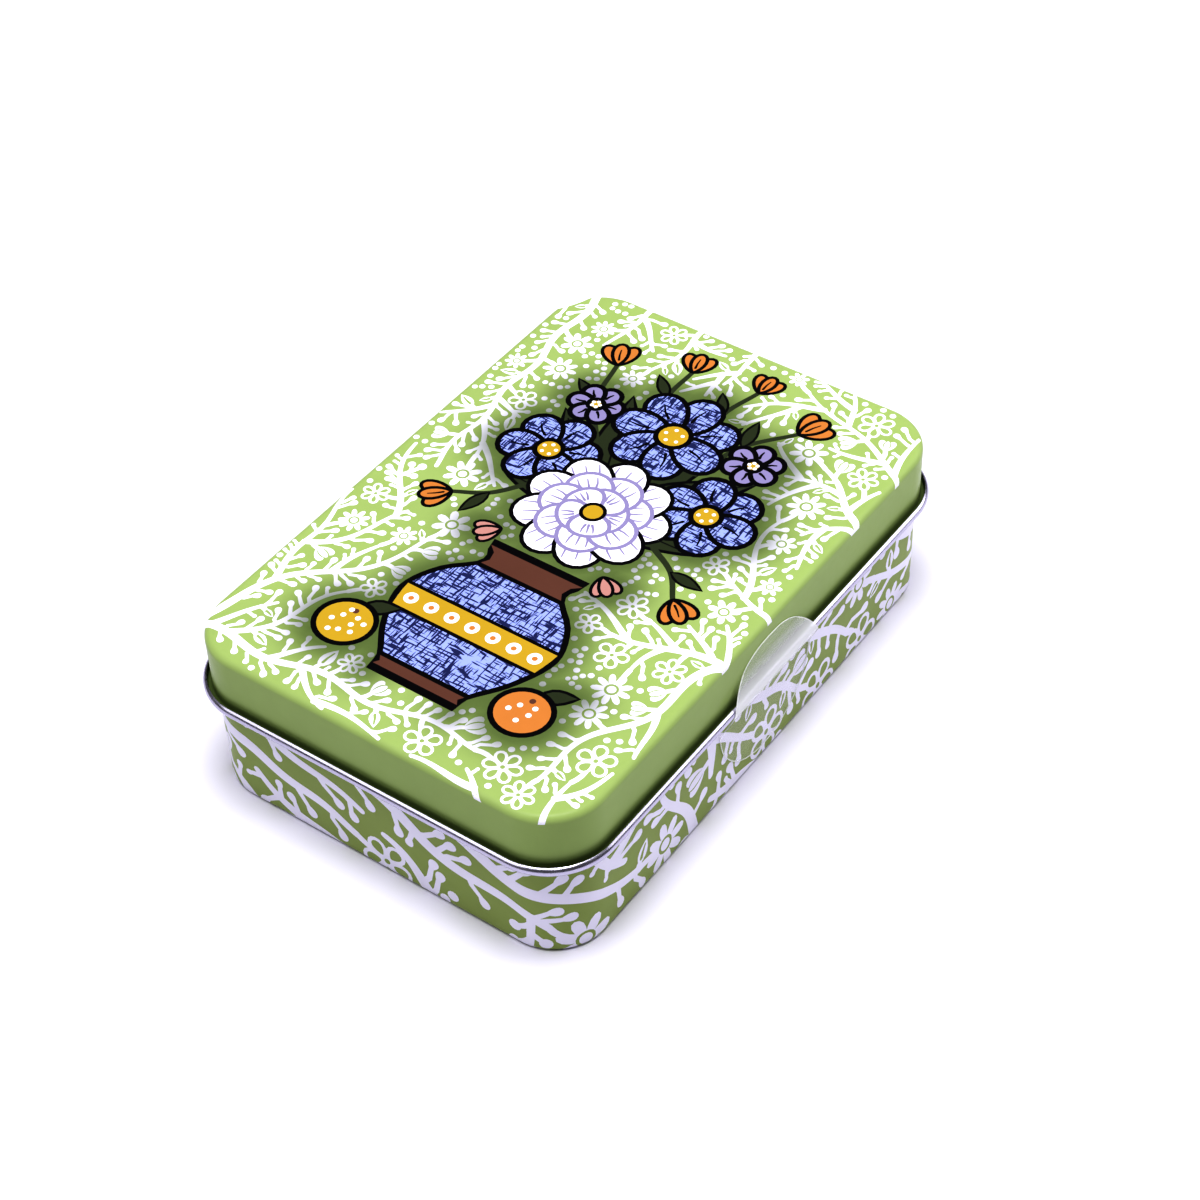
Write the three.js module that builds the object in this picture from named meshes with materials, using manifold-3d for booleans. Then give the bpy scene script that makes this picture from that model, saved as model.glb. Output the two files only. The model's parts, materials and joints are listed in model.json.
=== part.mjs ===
// A hinged tinplate trinket tin: a drawn lid with a rolled bead, a body bent from strip, its bottom
// plate, and a round film seal over the closing edge.
// Millimetres, +Z up. X runs along the tin, -Y is the front that opens and +Y the hinge side.
// The origin is on the table, under the middle of the tin.

import * as THREE from 'three';
import { mergeVertices } from 'three/addons/utils/BufferGeometryUtils.js';
import Module from 'manifold-3d';

const wasm = await Module();
wasm.setup();

// Sheet and lid
const SHEET = 0.25;               // tinplate with its lacquer
const LID_LENGTH = 100;           // over the lid's plain skirt, along X
const LID_WIDTH = 68.3;           // over the lid's plain skirt, along Y
const LID_CORNER_RADIUS = 9.4;    // of the skirt, seen from above
const TIN_HEIGHT = 28.8;          // table to the top of the closed lid
const LID_SKIRT = 9.8;            // top of the lid down to the middle of the bead
const SHOULDER_RADIUS = 1.1;      // outside of the edge between top and skirt
const BEAD_DIAMETER = 1.62;       // outside of the lid's rolled edge
const BEAD_EDGE_ANGLE = 84;       // degrees above level where the roll's cut edge stops

// Body
const LID_CLEARANCE = 0.35;       // inside of the skirt to the body wall
const NECK_STEP = 0.35;           // how far the wall under the lid is set in
const NECK_START = 2;             // middle of the bead up to where the wall turns in
const NECK_RISE = 1.5;            // height over which it turns in
const RIM_GAP = 0.3;              // rolled rim to the underside of the lid
const RIM_DIAMETER = 1.6;         // outside of the rim's inward roll
const RIM_EDGE_ANGLE = 250;       // degrees round the roll where its cut edge stops
const FOOT_RADIUS = 1;            // outside of the bend between wall and foot flange
const FOOT_FLANGE = 3.2;          // outer face of the wall to the flange's inner edge
const PLATE_EDGE_GAP = 0.2;       // bottom plate to the inside of the foot bend
const PLATE_SEAT_GAP = 0.05;      // sealing compound between flange and bottom plate
const SEAM_WIDTH = 5;             // lock seam at the middle of the rear wall
const SEAM_LAYERS = 2;            // sheets that the seam adds inside the wall

// Hinge: two tongues cut from the rear wall reach through the lid's slots and round its bead
const HINGE_SPACING = 50;         // tongue middle to tongue middle
const TONGUE_WIDTH = 10;
const TONGUE_PLAY = 0.15;         // bead to the inside of the tongue
const TONGUE_END_GAP = 0.3;       // tongue's free end to the wall
const WINDOW_TRIM = 0.2;          // each side, where the tongue is cut free of the wall
const SLOT_SIDE_PLAY = 0.5;       // each side of the tongue
const SLOT_FOOT = 0.2;            // middle of the bead up to the slot's lower edge
const SLOT_HEAD_PLAY = 0.4;       // tongue to the slot's upper edge

// Seal
const SEAL_DIAMETER = 24;         // of the flat sticker, before it is folded over the bead
const SEAL_FILM = 0.12;
const SEAL_GAP = 0.08;            // adhesive under the film
const SEAL_DROP = 2.8;            // top of the lid down to the sticker's top
const SEAL_TENT_ABOVE = 4.8;      // middle of the bead up to where the film leaves the skirt
const SEAL_TENT_BELOW = 4.6;      // middle of the bead down to where it meets the body wall

// Facets
const CORNER_STEPS = 8;           // flats round each corner of the tin
const ROLL_STEPS = 14;            // flats along a rolled edge
const BEND_STEPS = 4;             // flats along a quarter bend
const SEAL_STEPS = 48;            // flats round the seal

const degrees = THREE.MathUtils.degToRad;
const beadRadius = BEAD_DIAMETER / 2;
const rimRadius = RIM_DIAMETER / 2;
const bead = new THREE.Vector2(beadRadius - SHEET, TIN_HEIGHT - LID_SKIRT);
const wallOffset = -SHEET - LID_CLEARANCE;
const neckOffset = wallOffset - NECK_STEP;
const rimTop = TIN_HEIGHT - SHEET - RIM_GAP;
const rim = new THREE.Vector2(neckOffset - rimRadius, rimTop - rimRadius);
const loopRadius = beadRadius + TONGUE_PLAY;
const halfFlat = Math.PI / (4 * CORNER_STEPS);
const hingeMiddles = [-HINGE_SPACING / 2, HINGE_SPACING / 2];

// Points along an arc of a section, both ends included.
function arc(centre, radius, from, to, steps) {
  const [start, end] = [degrees(from), degrees(to)];
  const curve = new THREE.EllipseCurve(centre.x, centre.y, radius, radius, start, end, to < from);
  return curve.getPoints(steps);
}

// A point of a section: distance outside the lid's skirt, and height.
function at(offset, height) {
  return new THREE.Vector2(offset, height);
}

// A point on a circle round the origin, moved to the corner of the tin on its side of both axes.
function toCorner(x, y) {
  const alongX = Math.sign(x) * (LID_LENGTH / 2 - LID_CORNER_RADIUS);
  const alongY = Math.sign(y) * (LID_WIDTH / 2 - LID_CORNER_RADIUS);
  return new THREE.Vector2(x + alongX, y + alongY);
}

// The corner radius at an offset from the skirt, measured to the edges between the flats.
function cornerRadius(offset) {
  return (LID_CORNER_RADIUS + offset) / Math.cos(halfFlat);
}

// A section carried round the tin. A turned ring is parted into four corners, which leaves its flats
// between the corners as the straight sides.
function roundTheTin(section) {
  const turned = section.map((p) => at(cornerRadius(p.x), p.y));
  turned.push(turned[0].clone());
  const ring = new THREE.LatheGeometry(turned, 4 * CORNER_STEPS, halfFlat);
  ring.rotateX(Math.PI / 2);
  const place = ring.attributes.position;
  for (let i = 0; i < place.count; i += 1) {
    const moved = toCorner(place.getX(i), place.getY(i));
    place.setXY(i, moved.x, moved.y);
  }
  return ring;
}

// A flat sheet inside the tin's outline, its edge at one offset from the lid's skirt.
function sheetInside(offset, bottom) {
  const outline = [];
  for (let i = 0; i < 4 * CORNER_STEPS; i += 1) {
    const angle = (2 * i + 1) * halfFlat;
    const radius = cornerRadius(offset);
    outline.push(toCorner(radius * Math.cos(angle), radius * Math.sin(angle)));
  }
  const sheet = new THREE.ExtrudeGeometry(new THREE.Shape(outline), { depth: SHEET, bevelEnabled: false });
  return sheet.translate(0, 0, bottom);
}

// A side view, drawn with Y and Z as its two directions, made as wide as given along X.
function acrossTheTin(outline, width, middle = 0) {
  const shape = new THREE.Shape(outline);
  const strip = new THREE.ExtrudeGeometry(shape, { depth: width, bevelEnabled: false });
  const [along, up, across] = [[0, 1, 0], [0, 0, 1], [1, 0, 0]].map((v) => new THREE.Vector3(...v));
  strip.applyMatrix4(new THREE.Matrix4().makeBasis(along, up, across));
  return strip.translate(middle - width / 2, 0, 0);
}

// A block between two corners of its side view, centred on one place along X.
function block(width, low, high, middle) {
  const box = new THREE.BoxGeometry(width, high.x - low.x, high.y - low.y);
  return box.translate(middle, (low.x + high.x) / 2, (low.y + high.y) / 2);
}

// A closed geometry as a solid that can be joined and cut.
function solid(geometry) {
  const bare = geometry.clone();
  bare.deleteAttribute('normal');
  bare.deleteAttribute('uv');
  const merged = mergeVertices(bare);
  const vertProperties = new Float32Array(merged.attributes.position.array);
  const triVerts = new Uint32Array(merged.index.array);
  return new wasm.Manifold(new wasm.Mesh({ numProp: 3, vertProperties, triVerts }));
}

// A finished solid as a named mesh.
function meshOf(name, body, material) {
  const { vertProperties, triVerts } = body.getMesh();
  const geometry = new THREE.BufferGeometry();
  geometry.setAttribute('position', new THREE.BufferAttribute(vertProperties, 3));
  geometry.setIndex(new THREE.BufferAttribute(triVerts, 1));
  geometry.computeVertexNormals();
  const mesh = new THREE.Mesh(geometry, material);
  mesh.name = name;
  return mesh;
}

// The lid: its top, shoulder and skirt, and the edge rolled outwards and up into a bead.
function lidShell() {
  const shoulder = at(-SHOULDER_RADIUS, TIN_HEIGHT - SHOULDER_RADIUS);
  const topLap = -2 * SHOULDER_RADIUS;
  const rollEnd = 360 + BEAD_EDGE_ANGLE;
  const section = [
    at(topLap, TIN_HEIGHT - SHEET),
    ...arc(shoulder, SHOULDER_RADIUS - SHEET, 90, 0, BEND_STEPS),
    ...arc(bead, beadRadius, 180, rollEnd, ROLL_STEPS),
    ...arc(bead, beadRadius - SHEET, rollEnd, 180, ROLL_STEPS),
    ...arc(shoulder, SHOULDER_RADIUS, 0, 90, BEND_STEPS),
    at(topLap, TIN_HEIGHT),
  ];
  let lid = solid(roundTheTin(section)).add(solid(sheetInside(-SHOULDER_RADIUS, TIN_HEIGHT - SHEET)));
  const skirtMiddle = LID_WIDTH / 2 - SHEET / 2;
  const slotTop = bead.y + loopRadius + SHEET + SLOT_HEAD_PLAY;
  const low = at(skirtMiddle - SHEET, bead.y + SLOT_FOOT);
  const high = at(skirtMiddle + SHEET, slotTop);
  for (const middle of hingeMiddles) {
    lid = lid.subtract(solid(block(TONGUE_WIDTH + 2 * SLOT_SIDE_PLAY, low, high, middle)));
  }
  return lid;
}

// One hinge tongue, seen from the side: out of the wall, over the bead and round under it.
function tongueOutline() {
  const rearWall = LID_WIDTH / 2 + wallOffset;
  const pin = at(LID_WIDTH / 2 + bead.x, bead.y);
  const outer = loopRadius + SHEET;
  const bend = at(rearWall, pin.y + loopRadius);
  const end = rearWall + TONGUE_END_GAP;
  return [
    at(rearWall - SHEET, pin.y + loopRadius - SHEET),
    at(rearWall, pin.y + loopRadius - SHEET),
    bend,
    ...arc(pin, loopRadius, 90, -90, ROLL_STEPS),
    at(end, pin.y - loopRadius),
    at(end, pin.y - outer),
    ...arc(pin, outer, -90, 90, ROLL_STEPS),
    ...arc(bend, SHEET, 90, 180, BEND_STEPS),
  ];
}

// The body wall: foot flange, wall, set-in neck and inward rolled rim, with the lock seam and hinge.
function bodyWall() {
  const neckLow = bead.y + NECK_START;
  const foot = at(wallOffset - FOOT_RADIUS, FOOT_RADIUS);
  const section = [
    at(wallOffset - FOOT_FLANGE, 0),
    ...arc(foot, FOOT_RADIUS, 270, 360, BEND_STEPS),
    at(wallOffset, neckLow),
    at(neckOffset, neckLow + NECK_RISE),
    ...arc(rim, rimRadius, 0, RIM_EDGE_ANGLE, ROLL_STEPS),
    ...arc(rim, rimRadius - SHEET, RIM_EDGE_ANGLE, 0, ROLL_STEPS),
    at(neckOffset - SHEET, neckLow + NECK_RISE),
    at(wallOffset - SHEET, neckLow),
    ...arc(foot, FOOT_RADIUS - SHEET, 360, 270, BEND_STEPS),
    at(wallOffset - FOOT_FLANGE, SHEET),
  ];
  let body = solid(roundTheTin(section));
  const rearWall = LID_WIDTH / 2 + wallOffset;
  const seamInner = rearWall - SHEET * (1 + SEAM_LAYERS);
  const seamLow = at(seamInner, FOOT_RADIUS);
  const seamHigh = at(rearWall - SHEET / 2, neckLow);
  body = body.add(solid(block(SEAM_WIDTH, seamLow, seamHigh, 0)));
  const tongueTop = bead.y + loopRadius + SHEET;
  const tongueLength = Math.PI * loopRadius + 2 * (bead.x - wallOffset);
  const windowLow = at(LID_WIDTH / 2 + neckOffset - 2 * SHEET, tongueTop - SHEET);
  const windowHigh = at(rearWall + SHEET, tongueTop + tongueLength);
  for (const middle of hingeMiddles) {
    const window = solid(block(TONGUE_WIDTH + 2 * WINDOW_TRIM, windowLow, windowHigh, middle));
    const tongue = solid(acrossTheTin(tongueOutline(), TONGUE_WIDTH, middle));
    body = body.subtract(window).add(tongue);
  }
  return body;
}

// The bottom plate, inside the foot bend and on the flange.
function bottomPlate() {
  const edge = wallOffset - FOOT_RADIUS - PLATE_EDGE_GAP;
  return solid(sheetInside(edge, SHEET + PLATE_SEAT_GAP));
}

// The seal: a round film folded down the skirt, out over the bead and in again to the body wall.
function sealSticker() {
  const beadFace = bead.x + beadRadius;
  const halfBand = beadRadius / 2;    // the film lies flat on the middle of the bead
  const run = [
    at(0, TIN_HEIGHT - SEAL_DROP),
    at(0, bead.y + SEAL_TENT_ABOVE),
    at(beadFace, bead.y + halfBand),
    at(beadFace, bead.y - halfBand),
    at(wallOffset, bead.y - SEAL_TENT_BELOW),
  ];
  const used = run.slice(1).reduce((sum, point, i) => sum + point.distanceTo(run[i]), 0);
  run.push(at(wallOffset, bead.y - SEAL_TENT_BELOW - (SEAL_DIAMETER - used)));
  const front = (p, lift) => at(-LID_WIDTH / 2 - p.x - lift, p.y);
  const outline = run.map((p) => front(p, SEAL_GAP));
  outline.push(...run.map((p) => front(p, SEAL_GAP + SEAL_FILM)).reverse());
  const strip = solid(acrossTheTin(outline, SEAL_DIAMETER));
  const [top, low] = [run[0].y, run[run.length - 1].y];
  const round = new THREE.Shape();
  round.absellipse(0, (top + low) / 2, SEAL_DIAMETER / 2, (top - low) / 2, 0, 2 * Math.PI);
  const cutter = new THREE.ExtrudeGeometry(round, {
    depth: LID_WIDTH,
    bevelEnabled: false,
    curveSegments: SEAL_STEPS / 2,
  });
  cutter.rotateX(Math.PI / 2);
  return strip.intersect(solid(cutter));
}

const greenPrint = { color: 0xb4d06e, roughness: 0.42, metalness: 0.1 };
const bareTin = { color: 0xc9c8cf, roughness: 0.25, metalness: 1 };
const clearFilm = { color: 0xf4f6f2, roughness: 0.12, metalness: 0, transparent: true, opacity: 0.35 };

const tin = new THREE.Group();
tin.add(
  meshOf('lid_shell', lidShell(), new THREE.MeshStandardMaterial(greenPrint)),
  meshOf('body_wall', bodyWall(), new THREE.MeshStandardMaterial(greenPrint)),
  meshOf('bottom_plate', bottomPlate(), new THREE.MeshStandardMaterial(bareTin)),
  meshOf('seal_sticker', sealSticker(), new THREE.MeshStandardMaterial(clearFilm)),
);

export default tin;
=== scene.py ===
# A hinged tinplate trinket tin: its sheet metal, its print, its film seal and a studio to see it in.
import functools
import json
import math
import random
from types import SimpleNamespace

import bmesh
import bpy
import numpy as np
from bpy.props import FloatProperty, FloatVectorProperty, IntProperty, PointerProperty
from mathutils import Matrix, Vector
from mathutils.geometry import delaunay_2d_cdt


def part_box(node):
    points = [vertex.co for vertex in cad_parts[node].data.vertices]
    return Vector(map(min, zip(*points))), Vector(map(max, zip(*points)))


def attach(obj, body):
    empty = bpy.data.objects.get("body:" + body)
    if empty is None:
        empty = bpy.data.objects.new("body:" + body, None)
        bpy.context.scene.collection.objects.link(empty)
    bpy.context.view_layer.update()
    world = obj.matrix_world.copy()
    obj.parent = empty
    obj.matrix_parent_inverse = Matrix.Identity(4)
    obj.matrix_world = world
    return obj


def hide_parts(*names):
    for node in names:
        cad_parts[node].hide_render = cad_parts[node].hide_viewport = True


bl_info = {
    "name": "Trinket tin",
    "version": (1, 0, 0),
    "blender": (4, 5, 0),
    "location": "3D View > Sidebar > Tin",
    "description": "Models, prints and lights a hinged tinplate trinket tin round its packed frame",
    "category": "Object",
}

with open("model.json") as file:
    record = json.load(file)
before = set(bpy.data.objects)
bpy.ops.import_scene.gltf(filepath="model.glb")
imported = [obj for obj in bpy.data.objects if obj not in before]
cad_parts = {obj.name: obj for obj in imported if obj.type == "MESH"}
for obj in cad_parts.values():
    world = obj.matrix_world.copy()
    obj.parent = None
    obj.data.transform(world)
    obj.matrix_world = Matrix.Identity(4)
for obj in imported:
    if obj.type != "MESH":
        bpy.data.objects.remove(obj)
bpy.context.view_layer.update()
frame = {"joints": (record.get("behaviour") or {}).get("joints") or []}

MM = 0.001
LID_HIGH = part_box("lid_shell")[1]
WALL_LOW, WALL_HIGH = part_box("body_wall")
PLATE_LOW, PLATE_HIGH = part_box("bottom_plate")
SEAL_LOW, SEAL_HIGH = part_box("seal_sticker")
HINGE = next(joint for joint in frame["joints"] if joint["name"] == "lid_hinge")["pos_m"]
SHEET = PLATE_HIGH.z - PLATE_LOW.z
LID_CLEARANCE = 0.35 * MM

# Room round the hinge tongues: at a slot's two ends, from the bead's middle up to the slot, above the tongue
# in the slot, at a window's two ends, and from the wall to the tongue's end
SLOT_PLAY = 0.5 * MM
SLOT_START = 0.2 * MM
SLOT_ABOVE = 0.4 * MM
WINDOW_PLAY = 0.2 * MM
TONGUE_END = 0.3 * MM

# Fineness of the meshes
CORNER_STEPS = 24
ROLL_STEPS = 22
BEND_STEPS = 8
MERGE = 0.001 * MM
SUPPORT = 0.3 * MM          # a narrow flat beside each bend keeps the shading of the flats even
SHARP = math.radians(35)
LID_ROLL_END = 72           # degrees: where the bead's edge stops, counted up from straight out
RIM_ROLL_END = 250          # degrees: where the rim's edge stops, inside the rim
SHADE_GRID = 1.5 * MM       # spacing of the points on the lid's top that hold the shade round the picture

# Painted shade on the ink in and along the bead's groove: where it starts to fade above the bead's middle,
# how fast it fades, and the heights above the bead's middle at which it is stored
BEAD_SHADE_START = 0.85 * MM
BEAD_SHADE_FADE = 1.05 * MM
BEAD_ROWS = (2.1 * MM, 2.6 * MM, 3.3 * MM)

# Seal: how much the film hides low on the body, at the bead's two sides and high on the skirt, and how much
# at its cut edge
FILM_HAZE = (0.05, 0.55, 0.55, 0.1)
FILM_EDGE_HAZE = 0.7
FILM_EDGE = 0.25 * MM       # width over which the haze of the cut edge fades
FILM_EASE = 0.7 * MM        # how far from its middle a fold is eased
FILM_STEP = 0.3 * MM
FILM_SIDES = 128

# Print, in millimetres on the flat sheet
CELL = 0.18                 # grid that remembers where ink lies
INK_LIFT = 0.015
INK_SINK = 0.06
PRINT_MERGE = 1e-5
PATH_STEP = 0.6             # one step of a vine
LOOK_AHEAD = 0.6            # how far past each step a vine looks for ink
ROOT_STRETCH = 1.6          # the start of a vine that may lie on ink
EDGE_STRETCH = 4            # the start of a vine that may lie off the sheet
SHOULDER_BLEED = 0.6        # the lid's flat print past the lid's outline, to run over the shoulder
FOLD_START = 0.2            # the lid's ink is cut finer from this far inside the shoulder
FOLD_STEP = 0.5
FOOT_LINES = (0.4, 0.7)     # heights at which the body's ink is cut to follow the foot's bend
PICTURE_SHADE = 4.2         # how far the soft shade reaches round the picture
PICTURE_LINE = 0.42
WHITE = "white"
BARE = "bare"
PICTURE_INKS = ["outline", "blue", "pale", "lavender", "yellow", "brown", "orange", "leaf", "pink"]
CDT_INSIDE = 1              # the triangulation keeps what lies inside an outline

# Vines: the stretch that may lie near an older vine, in bands; the room kept for a flower at the end and
# between flowers along it, in flower radii; how many are main vines, how thick the others are, and the tips
LEAVING_BANDS = 1.7
CROWN_RADII = 2.2
FLOWER_SPACING = 2.8
MAIN_VINES = 6
SIDE_VINE = 0.75
VINE_TIP = 0.45

# Line widths, gaps, flower and dot radii, ink spread and vine lengths of the two prints in millimetres, and
# how often to try
LID_STYLE = SimpleNamespace(
    stem=1.35, twig=0.62, margin=0.3, clear=3.0, flower=3.0, dot=0.4, foot=1.2, spread=0.05,
    reach=60, shortest=5.6, most_vines=160, tries=60, dot_tries=4000,
)
BODY_STYLE = SimpleNamespace(
    stem=3.0, twig=1.0, margin=0.4, clear=3.8, flower=4.6, dot=0.8, foot=2.0, spread=0.1,
    reach=60, shortest=7.0, most_vines=100, tries=60, dot_tries=300,
)

# Studio, in metres: half the floor, where its glow starts and is full, the glow, and the lights with the
# property that holds each one's power, its width and its place
FLOOR_HALF = 20.0
GLOW_START = 0.35
GLOW_FULL = 1.6
GLOW = 0.9
LIGHTS = (
    ("soft_box", "key_power", 0.8, (-0.05, -0.04, 1.25)),
    ("left_panel", "left_power", 0.5, (-0.4, 0.28, 0.58)),
    ("right_panel", "right_power", 0.3, (0.26, -0.21, 0.22)),
)

# Camera, in millimetres
CAMERA_TARGET = (5.28, -0.09, 10.0)
SENSOR = 36


def linear(code):
    """Turns an sRGB hex colour into linear values."""
    values = [int(code[i:i + 2], 16) / 255 for i in (1, 3, 5)]
    return tuple(v / 12.92 if v <= 0.04045 else ((v + 0.055) / 1.055) ** 2.4 for v in values)


def size(name, description, default):
    """A length that the user may change, in metres."""
    return FloatProperty(
        name=name, description=description, default=default, min=0.0,
        precision=5, subtype="DISTANCE", unit="LENGTH",
    )


def colour(name, description, code):
    """A colour that the user may change."""
    return FloatVectorProperty(
        name=name, description=description, default=linear(code), min=0.0, max=1.0, size=3, subtype="COLOR",
    )


def power(name, description, default):
    """A light's power that the user may change, in watts."""
    return FloatProperty(name=name, description=description, default=default, min=0.0, unit="POWER")


def turning(name, description, degrees):
    """An angle that the user may change."""
    return FloatProperty(name=name, description=description, default=math.radians(degrees), subtype="ANGLE")


class TinSizes(bpy.types.PropertyGroup):
    """Sizes of the tin's sheet metal and seal."""

    lid_length: size("Lid length", "Over the plain skirt", 2 * (WALL_HIGH.x + SHEET + LID_CLEARANCE))
    lid_width: size("Lid width", "Over the plain skirt", 2 * (SHEET + LID_CLEARANCE - WALL_LOW.y))
    height: size("Height", "Table to the top of the closed lid", LID_HIGH.z)
    bead_height: size("Bead height", "Table to the middle of the lid's bead", HINGE[2])
    corner_radius: size("Corner radius", "Of the skirt, seen from above", 9.4 * MM)
    shoulder_radius: size("Shoulder radius", "Outside of the edge between top and skirt", 1.1 * MM)
    bead_diameter: size("Bead", "Outside of the lid's rolled edge", 1.62 * MM)
    neck_step: size("Neck step", "How far the wall under the lid is set in", 0.35 * MM)
    neck_start: size("Neck start", "Middle of the bead up to where the wall turns in", 2 * MM)
    neck_rise: size("Neck rise", "Height over which the wall turns in", 1.5 * MM)
    rim_diameter: size("Rim", "Outside of the rim's inward roll", 1.6 * MM)
    bare_margin: size("Bare margin", "Unprinted strip under the rim", 1.2 * MM)
    foot_radius: size("Foot radius", "Outside of the bend between wall and foot flange", 1 * MM)
    foot_flange: size("Foot flange", "Wall to the flange's inner edge", 3.2 * MM)
    seam_width: size("Seam width", "Lock seam at the middle of the rear wall", 5 * MM)
    hinge_spacing: size("Hinge spacing", "Tongue middle to tongue middle", 50 * MM)
    tongue_width: size("Tongue width", "Along the hinge", 10 * MM)
    tongue_play: size("Tongue play", "Bead to the inside of the tongue", 0.15 * MM)
    seal_diameter: size("Seal", "The flat sticker before it is folded", SEAL_HIGH.x - SEAL_LOW.x)
    seal_film: size("Seal film", "Thickness of the film", 0.12 * MM)
    seal_gap: size("Seal gap", "Adhesive under the film", 0.08 * MM)
    seal_tent_above: size("Tent above", "Bead up to where the film leaves the skirt", 4.8 * MM)
    seal_tent_below: size("Tent below", "Bead down to where the film meets the body", 4.6 * MM)


class TinColours(bpy.types.PropertyGroup):
    """Colours of the tin's inks, metal and film, and the seed of its pattern."""

    lid_green: colour("Lid green", "Ground colour of the lid", "#92a666")
    body_green: colour("Body green", "Ground colour of the body", "#8a9a56")
    # Also the colour of the painted shade in and along the bead's groove on the lid
    shade_green: colour("Shade", "Airbrushed shade round the picture", "#3c4a28")
    white: colour("White", "Vines, flowers and dots", "#e6e3f4")
    outline: colour("Outline", "Drawn lines of the picture", "#0a090c")
    blue: colour("Blue", "Vase and large blooms", "#929fe4")
    navy: colour("Navy", "Threads in the blue", "#232850")
    pale: colour("Pale", "White bloom and spots", "#e4e2ea")
    lavender: colour("Lavender", "Small blooms and the white bloom's creases", "#857da6")
    yellow: colour("Yellow", "Band, fruit and stamens", "#b0902c")
    brown: colour("Brown", "Vase rim and foot", "#5c3c32")
    orange: colour("Orange", "Tulips and fruit", "#b8763c")
    leaf: colour("Leaf", "Leaves and stems of the picture", "#2e3524")
    pink: colour("Pink", "Buds", "#b0807a")
    tinplate: colour("Tinplate", "Bare metal", "#b9b5c9")
    film: colour("Film", "Clear seal", "#f1f2f4")
    seed: IntProperty(name="Pattern seed", description="Sets how the vines grow", default=7, min=0)


class TinStudio(bpy.types.PropertyGroup):
    """Floor, light and camera."""

    floor: colour("Floor", "Pale table", "#d8d6e1")
    key_power: power("Soft box", "Light above the tin", 16.2)
    left_power: power("Left panel", "Light beside the tin's end", 1.1)
    right_power: power("Right panel", "Light beside the tin's front", 0.5)
    room: FloatProperty(name="Room light", description="Strength of the white room", default=0.1, min=0.0)
    azimuth: turning("Azimuth", "Camera's turn round the tin", -53.0054)
    elevation: turning("Elevation", "Camera above level", 43.9647)
    roll: turning("Roll", "Camera's tilt to one side", -2.2366)
    distance: size("Distance", "Camera to the point it looks at", 398.02 * MM)
    lens: FloatProperty(name="Lens", description="Focal length in millimetres", default=77.418, min=1.0)


def measure(context):
    """The tin's working sizes in metres. Offsets are measured outwards from the lid's plain skirt."""
    sizes = context.scene.tin_sizes
    bead_radius = sizes.bead_diameter / 2
    rim_radius = sizes.rim_diameter / 2
    wall = -SHEET - LID_CLEARANCE
    neck = wall - sizes.neck_step
    bead = (bead_radius - SHEET, sizes.bead_height)
    loop = bead_radius + sizes.tongue_play
    tongue_top = sizes.bead_height + loop + SHEET
    tongue_length = math.pi * loop + 2 * (bead[0] - wall)
    return SimpleNamespace(
        half_x=sizes.lid_length / 2,
        half_y=sizes.lid_width / 2,
        top=sizes.height,
        corner_radius=sizes.corner_radius,
        corner_x=sizes.lid_length / 2 - sizes.corner_radius,
        corner_y=sizes.lid_width / 2 - sizes.corner_radius,
        shoulder=sizes.shoulder_radius,
        bead=bead,
        bead_radius=bead_radius,
        wall=wall,
        neck=neck,
        neck_low=sizes.bead_height + sizes.neck_start,
        neck_high=sizes.bead_height + sizes.neck_start + sizes.neck_rise,
        rim=(neck - rim_radius, WALL_HIGH.z - rim_radius),
        rim_radius=rim_radius,
        foot=sizes.foot_radius,
        loop=loop,
        window_low=tongue_top - SHEET,
        window_high=tongue_top + tongue_length,
        slot_low=sizes.bead_height + SLOT_START,
        slot_high=tongue_top + SLOT_ABOVE,
        bead_rows=[sizes.bead_height + rise for rise in BEAD_ROWS],
        hinges=(-sizes.hinge_spacing / 2, sizes.hinge_spacing / 2),
    )


# Sheet metal

def arc(centre, radius, start, end, steps):
    """Points (offset, height) along an arc between two angles in degrees, both ends included."""
    angles = np.radians(np.linspace(start, end, steps + 1))
    return [(centre[0] + radius * math.cos(a), centre[1] + radius * math.sin(a)) for a in angles]


def carry_round(bm, tin, profile, finish, rear_stops=()):
    """Carries an open profile of (offset, height) points once round the tin, with extra edges at the rear."""
    known = len(bm.faces)
    x, y = tin.corner_x, tin.corner_y
    corners = [(x, -y), (x, y), (-x, y), (-x, -y)]
    verts = [bm.verts.new((x, -y - tin.corner_radius - offset, height)) for offset, height in profile]
    strip = verts + [bm.edges.new(pair) for pair in zip(verts, verts[1:])]
    for corner, following in zip(corners, corners[1:] + corners[:1]):
        turned = bmesh.ops.spin(
            bm, geom=strip, cent=(*corner, 0), axis=(0, 0, 1), angle=math.pi / 2, steps=CORNER_STEPS,
        )
        strip = turned["geom_last"]
        at_rear = corner[1] > 0 and following[1] > 0
        stops = [(stop, y) for stop in sorted(rear_stops, reverse=True)] if at_rear else []
        places = [Vector(place) for place in (corner, *stops, following)]
        for here, there in zip(places, places[1:]):
            moved = bmesh.ops.spin(
                bm, geom=strip, cent=(0, 0, 0), axis=(0, 0, 1), dvec=(there - here).to_3d(), angle=0, steps=1,
            )
            strip = moved["geom_last"]
    bmesh.ops.remove_doubles(bm, verts=bm.verts[:], dist=MERGE)
    bm.faces.ensure_lookup_table()
    for face in bm.faces[known:]:
        face.material_index = finish


def close_flat(bm, height, finish):
    """Fills the open edge at one height with a flat face and returns it."""
    edge = [e for e in bm.edges if e.is_boundary and all(abs(v.co.z - height) < MERGE for v in e.verts)]
    filled = bmesh.ops.edgeloop_fill(bm, edges=edge, mat_nr=finish)["faces"]
    return filled[0]


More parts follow.
